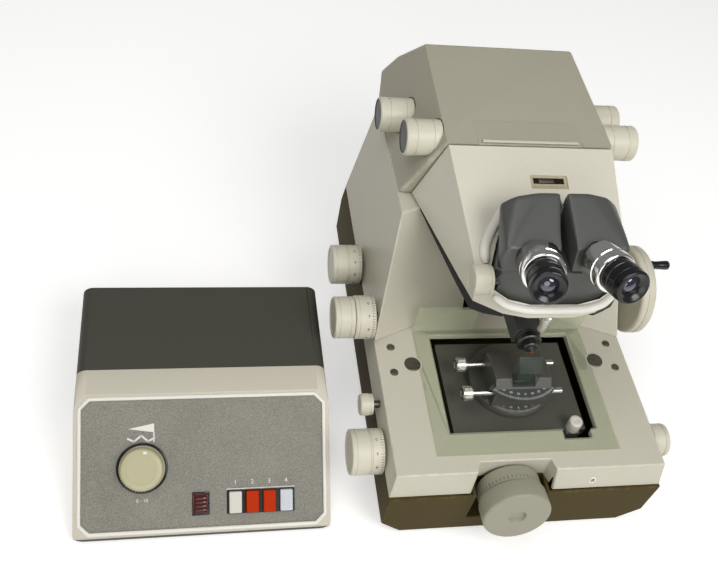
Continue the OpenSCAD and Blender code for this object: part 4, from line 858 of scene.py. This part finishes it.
def makeEyepiece(side, label, e):
    r, b, c, stem = e["r"], e["barrel"], e["collarR"], e["stem"]
    top = b + e["collar"]
    rings = [(3.6, 0, 2), (3.9, 3.0, 2), (4.8, 6.4, 2), (5.6, 7.4), (4.6, 7.9), (1.8, 10.6), (1.2, 12.2)]
    rings += [(0.4, r - 4.2), (0, r - 3.2)] + roundOff(0, r - 2.4, 2.4, r - 0.4)
    rings += [(7.0, r), (7.4, r - 0.8), (8.2, r - 0.8), (8.6, r), (17, r), (17.4, r - 0.6), (18.2, r - 0.6), (18.6, r),
              (b - 1.4, r)]
    chrome = [(b - 0.8, r - 1.2), (b, r - 1.2)] + roundOff(b, c - 2, b + 2, c)
    chrome += [(b + 9, c), (b + 9.6, c - 0.9), (b + 11, c - 0.9), (b + 11.6, c), (top - 1, c), (top, c - 1),
               (top, stem), (top + e["stemL"], stem), (top + e["stemL"], 0)]
    makeTurned(label + "_eyepiece", label + "EyepieceTurned", ["blackPlastic", "chrome", "lensPurple"],
               (64, r - 0.04, 12.8, 0.35, 0.85, 7.4), (rings + [(h, c, 1) for h, c in chrome], onEye(side, e), 80))


for side, label in ((-1, "left"), (1, "right")):
    makeHousing(side, label + "_prism_housing", housing)
    makeEyepiece(side, label, eye)
print("housings cast and eyepieces turned")

# microscope arm: raised rim round the head, painted pale as a highlight; dark strip under the arm's sides as painted
# shadow
armLine = [(54.5, 314.0), (-55.5, 280.0), (-85.5, 267.0), (-91.5, 259.0), (-102.0, 254.0), (-107.8, 251.0)]  # y, z
armForm = {"rimR": 5.2, "rimFlat": 0.8, "sides": ((43, -12), (52.5, -28.6), (62.5, -44), (67.5, -57), (68, -70)),
           "front": ((60.5, -95.5), (50, -103.2), (36, -106.8), (22, -108.6)), "low": 238.0,
           # painted shadow strip under the arm: x, y and depth along each side
           "shadowStrip": ((105.9, 40, 2.0), (98.8, 10, 5.0), (90.5, -25, 8.0), (83.3, -55, 10.5), (75.6, -85.5, 12.0),
                     (63.5, -91.8, 12.0), (48.4, -102.3, 4.2))}


def armTop(y):
    return float(np.interp(y, *zip(*armLine[::-1])))


def makeArmTrim(a):
    # a raised ridge round the head, painted pale as its highlight
    bm = bmesh.new()
    for side in (-1, 1):
        path = smoothPath([(side * x, y, armTop(y) + 1.4) for x, y in a["sides"]])
        n = len(path)
        taper = [min(1.0, 0.5 + 2.0 * i / n, 0.5 + 4.0 * (n - 1 - i) / n) for i in range(n)]
        tubeInto(bm, path, a["rimR"], 12, a["rimFlat"], taper)
    right = [(x, y, armTop(y) + 0.8) for x, y in a["front"]]
    path = smoothPath([(-x, y, z) for x, y, z in right] + right[::-1])
    n = len(path)
    taper = [min(1.0, 0.7 + 6.0 * min(i, n - 1 - i) / n) for i in range(n)]
    tubeInto(bm, path, a["rimR"] * 0.9, 12, a["rimFlat"], taper)
    formPiece(bm, "headRimHighlight", ["rimPaint"], "microscope_arm", 60)
    bm = bmesh.new()
    # painted shadow: a dark strip in the rubber finish where the shade under the arm's edge falls
    for side in (-1, 1):  # dark edge under each side of the arm, deeper to the front
        stackInto(bm, [[bm.verts.new((side * (x - inset), y + back, a["low"] - deep * part)) for inset, back, part in (
            (0.2, 0, 0), (0.2, 0, 1), (5, 1, 1), (5, 1, 0))] for x, y, deep in a["shadowStrip"]])
    formPiece(bm, "armShadowStrip", ["footRubber"], "microscope_arm", 30)


makeArmTrim(armForm)
print("arm trimmed")

# window in the arm: dark reading slot, pale lip with a scale
armWindow = {"x": 12, "y": 16, "w": 40, "d": 15, "sunk": 1.5, "ticks": 16}


def makeWindow(w):
    (y0, z0), (y1, z1) = armLine[:2]
    place = shift(w["x"], w["y"], armTop(w["y"])) @ spin(atan2(z0 - z1, y0 - y1), "X")
    hw, hd, h = w["w"] / 2 - 0.4, w["d"] / 2 - 0.8, -w["sunk"]
    bm = bmesh.new()
    boxInto(bm, place, (-hw + 3, -hd + 5.2, h), (hw - 3, hd - 1.6, h + 0.25), 0, 0.1)
    boxInto(bm, place, (-hw + 1.5, -hd + 0.6, h), (hw - 1.5, -hd + 4.2, h + 0.7), 1, 0.3)
    boxInto(bm, place, (-hw + 9, -hd + 6.4, h + 0.2), (hw - 14, hd - 3.2, h + 0.6), 2, 0.2)
    for i in range(w["ticks"] + 1):
        x = -hw + 4 + i * (2 * hw - 8) / w["ticks"]
        long = 2.4 if i % 4 else 3.4
        boxInto(bm, place, (x - 0.18, -hd + 1.0, h + 0.7), (x + 0.18, -hd + long, h + 0.76), 3)
    formPiece(bm, "windowScale", ["blackPlastic", "windowBrass", "plugSteel", "inkDark"],
              "microscope_arm")


makeWindow(armWindow)

# microscope: objective, lock screw
scopeParts = {"objective": (0, -65.5, 220), "objectiveR": 24, "lock": (0, -103.5, 238)}


def makeScopeParts(p):
    r = p["objectiveR"]
    rings = [(3.0, 0, 2), (2.6, 8, 2), (1.8, 14), (0.6, 16.5), (0, 17.6)] + roundOff(0, 18.4, 1.6, 20)
    rings += [(5, 20, 1), (5.3, 19.4, 1), (6.6, 19.4, 1), (6.9, 20), (13, 20)]
    rings += roundOff(13, r - 1, 14, r) + [(25, r), (26, r - 1), (26, 0)]
    makeTurned("objective", "objectiveTurned", ["blackPlastic", "chrome", "lensPurple"],
               (60, r - 0.06, 19.5, 0.3, 1.1, 7), (rings, shift(*p["objective"])))
    rings = [(0.1, 0), (0.1, 5.4), (0.6, 6), (3.4, 6), (4, 5.4), (4, 4.2), (5.5, 4.2), (5.5, 4.5), (6, 4.8),
             (24.6, 4.8), (25.6, 4.0), (26, 3.0), (26, 0)]
    makeTurned("microscope_lock_screw", "lockScrewTurned", ["brightSteel"], (30, 4.8, 15.2, 0.35, 0.5, 17.6),
               (rings, shift(*p["lock"]) @ spin(pi, "X"), 48))


makeScopeParts(scopeParts)
print("microscope parts turned")

# knife stage: turntable with a graduated arc, clamp screws, lock knob, specimen chuck
turntable = {"y": -91.5, "r": 46, "low": 94, "disc": 99.1, "top": 109.1, "pin": 10}
sector = {"y": -87, "z": 133.2, "r": 51, "t": 2.0, "steps": 24, "from": -138, "sweep": 96, "inner": 0.62}
stageParts = {"clampZ": 124.1, "clampY": {"front_clamp_screw": -119.5, "rear_clamp_screw": -83.5}, "clampL": 12,
              "lock": (58, -152, 93), "chuck": (0, -85.5, 178)}


def makeTurntable(p):
    place = shift(0, p["y"], 0)
    r, low, disc, top, pin = p["r"], p["low"], p["disc"], p["top"], p["pin"]
    rings = [(low, 0), (low, pin), (disc, pin), (disc, r - 0.8), (disc + 0.8, r), (top - 4.0, r), (top - 3.7, r - 0.7),
             (top - 3.0, r - 0.7), (top - 2.7, r), (top - 0.8, r), (top, r - 0.8), (top, r - 9), (top, 0)]
    replaceNode("knife_turntable", "turntableTurned", turned("turntableDisc", ["stageBlack"], (rings, place, 128)),
                *angleScale(place, r, top + 0.02, -140, 100, (2.6, 2.2, 0.35, 1.7), 7.2, 3.4))


def makeSector(p):
    # angle scale in front of the knife block, above the clamp screws
    place = shift(0, p["y"], p["z"])
    angles = [radians(p["from"] + p["sweep"] * i / p["steps"]) for i in range(p["steps"] + 1)]
    rim = [(p["r"] * cos(a), p["r"] * sin(a)) for a in angles]
    bm = bmesh.new()
    plateInto(bm, place, rim + [(p["inner"] * x, p["inner"] * y) for x, y in rim[::-1]], 0, p["t"])
    made = [meshFrom(bm, "sectorPlate", ["slateIron"])]
    made += angleScale(place, p["r"], p["t"] + 0.03, -132, 84, (2.4, 2.4, 0.4, 1.6), 8.0, 3.6)
    newPiece("knifeSector", made, "knife_turntable")


def makeStageParts(p):
    for name, y in p["clampY"].items():
        low, high = boxOf(name)
        start = low.x + p["clampL"] - high.x
        rings = [(start, 0), (start, 2.9), (start + 0.6, 3.5), (0, 3.5), (0, 6.6), (0.8, 7.4), (1.6, 7.4), (1.8, 7.0),
                 (10.2, 7.0), (10.4, 7.4), (11.2, 7.4), (12, 6.4), (12, 4.4), (11.4, 4.0), (11.4, 0)]
        makeTurned(name, name + "Turned", ["brightSteel"], (36, 7.0, 6.0, 0.7, 0.65, 8.2),
                   (rings, along(-1, -low.x - p["clampL"], y, p["clampZ"]), 48))
    rings = [(0, 0), (0, 3), (6.3, 3), (6.3, 6.6), (7.0, 7.2), (18, 7.2)] + roundOff(19.8, 7.4, 22.3, 5.4, False)
    makeTurned("turntable_lock_knob", "turntableLockTurned", ["keyWhite"], (32, 7.1, 12.6, 0.5, 0.7, 10.4),
               (rings + [(22.3, 3.0), (21.7, 2.6), (21.7, 0)], shift(*p["lock"]), 48))
    rings = [(0, 0), (0, 12.4), (0.8, 13), (2, 13), (2.3, 12.5), (8, 12.5), (8.3, 13), (9, 13), (10, 12), (10, 7.2),
             (10.6, 7.5), (15, 7.5), (16, 6.6), (16, 3.5), (21, 1.5, 1), (21, 0, 1)]
    makeTurned("specimen_chuck", "chuckTurned", ["darkSteel", "keyOrange"], (44, 12.5, 5.1, 0.5, 0.9, 5.4),
               (rings, shift(*p["chuck"]) @ spin(pi / 2, "X"), 64))


makeTurntable(turntable)
makeSector(sector)
makeStageParts(stageParts)
print("knife stage finished")

# control unit
unit = {"x": -331, "front": -207, "lip": 12, "slope": 35, "face": -1, "back": 51, "side": 130.02, "print": 0.08}
speedKnob = {"at": (-63, 67), "r": 23, "h": 16, "shaft": 3}
lamp = {"at": (-4, 28.5), "w": 14, "l": 20, "frame": 1.8, "gap": 0.1, "ribs": 4}
keys = {"first": 31.3, "pitch": 17.6, "s": 28.5, "l": 22, "count": 4}
panelRimHighlight = {"half": 125.2, "low": 2.8, "high": 138.2, "cut": 9.5, "wide": 2.0, "tall": 1.4, "level": 0.1, "sides": 10}
knobSign = {"wedge": [(-77, 107), (-51, 103), (-51, 112)], "line": 2.0,
            "zigzag": [(-77, 97), (-71, 94), (-64, 100), (-57, 94), (-51, 97)], "bar": ((-51.9, 93), (-50.6, 103))}


def onPanel(u, s, h):
    return shift(unit["x"], unit["front"], unit["lip"]) @ spin(radians(unit["slope"]), "X") @ shift(u, s, h)


face = unit["face"]
panelTop = onPanel(0, 0, 0)


def makeSpeedKnob(k):
    place = onPanel(*k["at"], 0)
    r, top, shaft = k["r"], face + k["h"], k["shaft"]
    rings = [(face - 14, 0), (face - 14, shaft), (face + 0.4, shaft), (face + 0.4, r - 1), (face + 1.2, r),
             (face + 4.0, r), (face + 4.5, r - 0.9)] + roundOff(top - 3.4, r - 1.4, top + 0.2, r - 4.6, False, 5)
    bm = bmesh.new()
    latheInto(bm, rings + [(top + 0.4, r - 8), (top + 0.1, r - 8.4), (top + 0.1, 0)], place, 96)
    boxInto(bm, place, (1.6, r - 7.4, top - 0.2), (5.4, r - 4.6, top + 0.42), 1)
    replaceNode("speed_knob", "speedKnobTurned", meshFrom(bm, "speedKnobBody", ["paleKnob", "inkPale"]),
                marks(onPanel(*k["at"], face), 48, r - 1.0, 8.6, 0.6, 1.1, 7.4, "paleKnob"))


def makePanelTrim(k, p, v):
    # black rings round the knob and the lamp; raised rim round the panel, painted pale as a highlight
    r = k["r"]
    bm = bmesh.new()
    latheInto(bm, [(face, r + 0.5), (face + 1.0, r + 0.5), (face + 1.2, r + 0.8), (face + 1.2, r + 2.2),
                   (face + 0.8, r + 2.8), (face, r + 2.9), (face, r + 0.5)], onPanel(*k["at"], 0), 96)
    place = onPanel(*p["at"], face)
    x1, y1 = p["w"] / 2 + p["gap"], p["l"] / 2 + p["gap"]
    x2, y2 = p["w"] / 2 + p["frame"], p["l"] / 2 + p["frame"]
    for low, high in (((-x2, -y2), (x2, -y1)), ((-x2, y1), (x2, y2)), ((-x2, -y1), (-x1, y1)), ((x1, -y1), (x2, y1))):
        boxInto(bm, place, (*low, 0), (*high, 1.6), 0, 0.4)
    formPiece(bm, "panelRings", ["blackPlastic"], "casing")
    half, low, high, cut = v["half"], v["low"], v["high"], v["cut"]
    border = [(-half + cut, low), (half - cut, low), (half, low + cut), (half, high - cut), (half - cut, high),
              (-half + cut, high), (-half, high - cut), (-half, low + cut)]
    ring = [Vector((x, y, v["level"])) for x, y in border]
    path = [ring[i].lerp(ring[(i + 1) % 8], t) for i in range(8) for t in (0.0, 0.04, 0.5, 0.96)]
    # the panel's rim, painted pale as the highlight on the bezel's edge
    bm = bmesh.new()
    tubeInto(bm, path, v["wide"], v["sides"], v["tall"] / v["wide"], [1] * len(path), panelTop, True)
    formPiece(bm, "panelRimHighlight", ["rimPaint"], "casing", 60)


def makePanelMarks(sign, k, knob):
    thick = unit["print"]
    bm = bmesh.new()
    plateInto(bm, panelTop, sign["wedge"], face, face + thick)
    lineInto(bm, panelTop, sign["zigzag"], sign["line"], face, thick)
    low, high = sign["bar"]
    boxInto(bm, panelTop, (*low, face), (*high, face + thick))
    start, over = k["first"] - k["pitch"] / 2, k["s"] + k["l"] / 2 + 2.4
    lineInto(bm, panelTop, [(start, over), (start + k["count"] * k["pitch"], over)], 0.8, face, thick)
    made = [meshFrom(bm, "panelLines", ["inkPale"])]
    for i in range(k["count"]):
        made.append(figure(str(i + 1), 6.4, "inkPale", onPanel(k["first"] + i * k["pitch"], k["s"] + 20, face)))
    u, s = knob["at"]
    made.append(figure("0 - 10", 5.0, "inkPale", onPanel(u, s - 33, face)))
    newPiece("panelMarks", made, "casing")


def makeUnitFixings(c, p):
    bm = bmesh.new()
    for i in range(p["ribs"]):  # across the lamp's lens
        boxInto(bm, onPanel(*p["at"], face), (1.6 - p["w"] / 2, -7.5 + 4 * i, 1.9),
                (p["w"] / 2 - 1.6, -5.7 + 4 * i, 2.5), 0, 0.3)
    formPiece(bm, "lampRibs", ["lampRed"], "casing")
    rear = shift(c["x"], c["back"], 0) @ spin(-pi / 2, "X")
    made = [screws(rear, [(x, -z) for x in (-118, 118) for z in (18, 80)], 1.2, 5)]
    for side in (-1, 1):
        flank = shift(c["x"] + side * c["side"], 0, 0) @ spin(side * pi / 2, "Y")
        made.append(screws(flank, [(-side * 49, y) for y in (-20, 25)], 1.0, 7))
    newPiece("unitScrews", made, "casing")
    inlet = shift(-265.5, c["back"], 49) @ spin(-pi / 2, "X")
    pin = [(-12, 0), (-12, 1.3), (-2.4, 1.3), (-1.8, 0.8), (-1.8, 0)]
    pins = [(pin, inlet @ shift(x, y, 0), 20) for x, y in ((-4.5, 2.5), (4.5, 2.5), (0, -4))]
    newPiece("inletPins", [turned("inletPins", ["brightSteel"], *pins)], "casing")


makeSpeedKnob(speedKnob)
makePanelTrim(speedKnob, lamp, panelRimHighlight)
makePanelMarks(knobSign, keys, speedKnob)
makeUnitFixings(unit, lamp)
print("control unit finished")

# screws of the rear cover, a lip on the lid painted pale as a highlight, washer in the fascia
fixings = {"inset": 8, "washer": (68, -208.9, 89), "slope": 75.5}


def makeFixings(f):
    low, high = boxOf("rear_cover")
    rear = shift(0, high.y, 0) @ spin(-pi / 2, "X")
    spots = [(x, -z) for x in (low.x + f["inset"], high.x - f["inset"])
             for z in (low.z + f["inset"], (low.z + high.z) / 2, high.z - f["inset"])]
    newPiece("coverScrews", [screws(rear, spots, 1.4, 11)], "casing")
    low, high = boxOf("hood_lid")
    # a strip in the paler knob cream along the lid's front: painted highlight
    bm = bmesh.new()
    boxInto(bm, shift(0, low.y, high.z), (low.x + 5, 1.6, -0.3), (high.x - 5, 5.4, 0.8), 0, 0.5)
    formPiece(bm, "lidLipHighlight", ["knobCream"], "casing")
    rings = [(-0.4, 2.6), (0.5, 2.6), (0.7, 2.9), (0.7, 3.9), (0.4, 4.3), (-0.4, 4.3), (-0.4, 2.6)]
    washer = turned("fasciaWasher", ["rimPaint"], (rings, shift(*f["washer"]) @ spin(radians(f["slope"]), "X"), 40))
    newPiece("fasciaWasher", [washer], "casing")


makeFixings(fixings)
print("fixings placed")
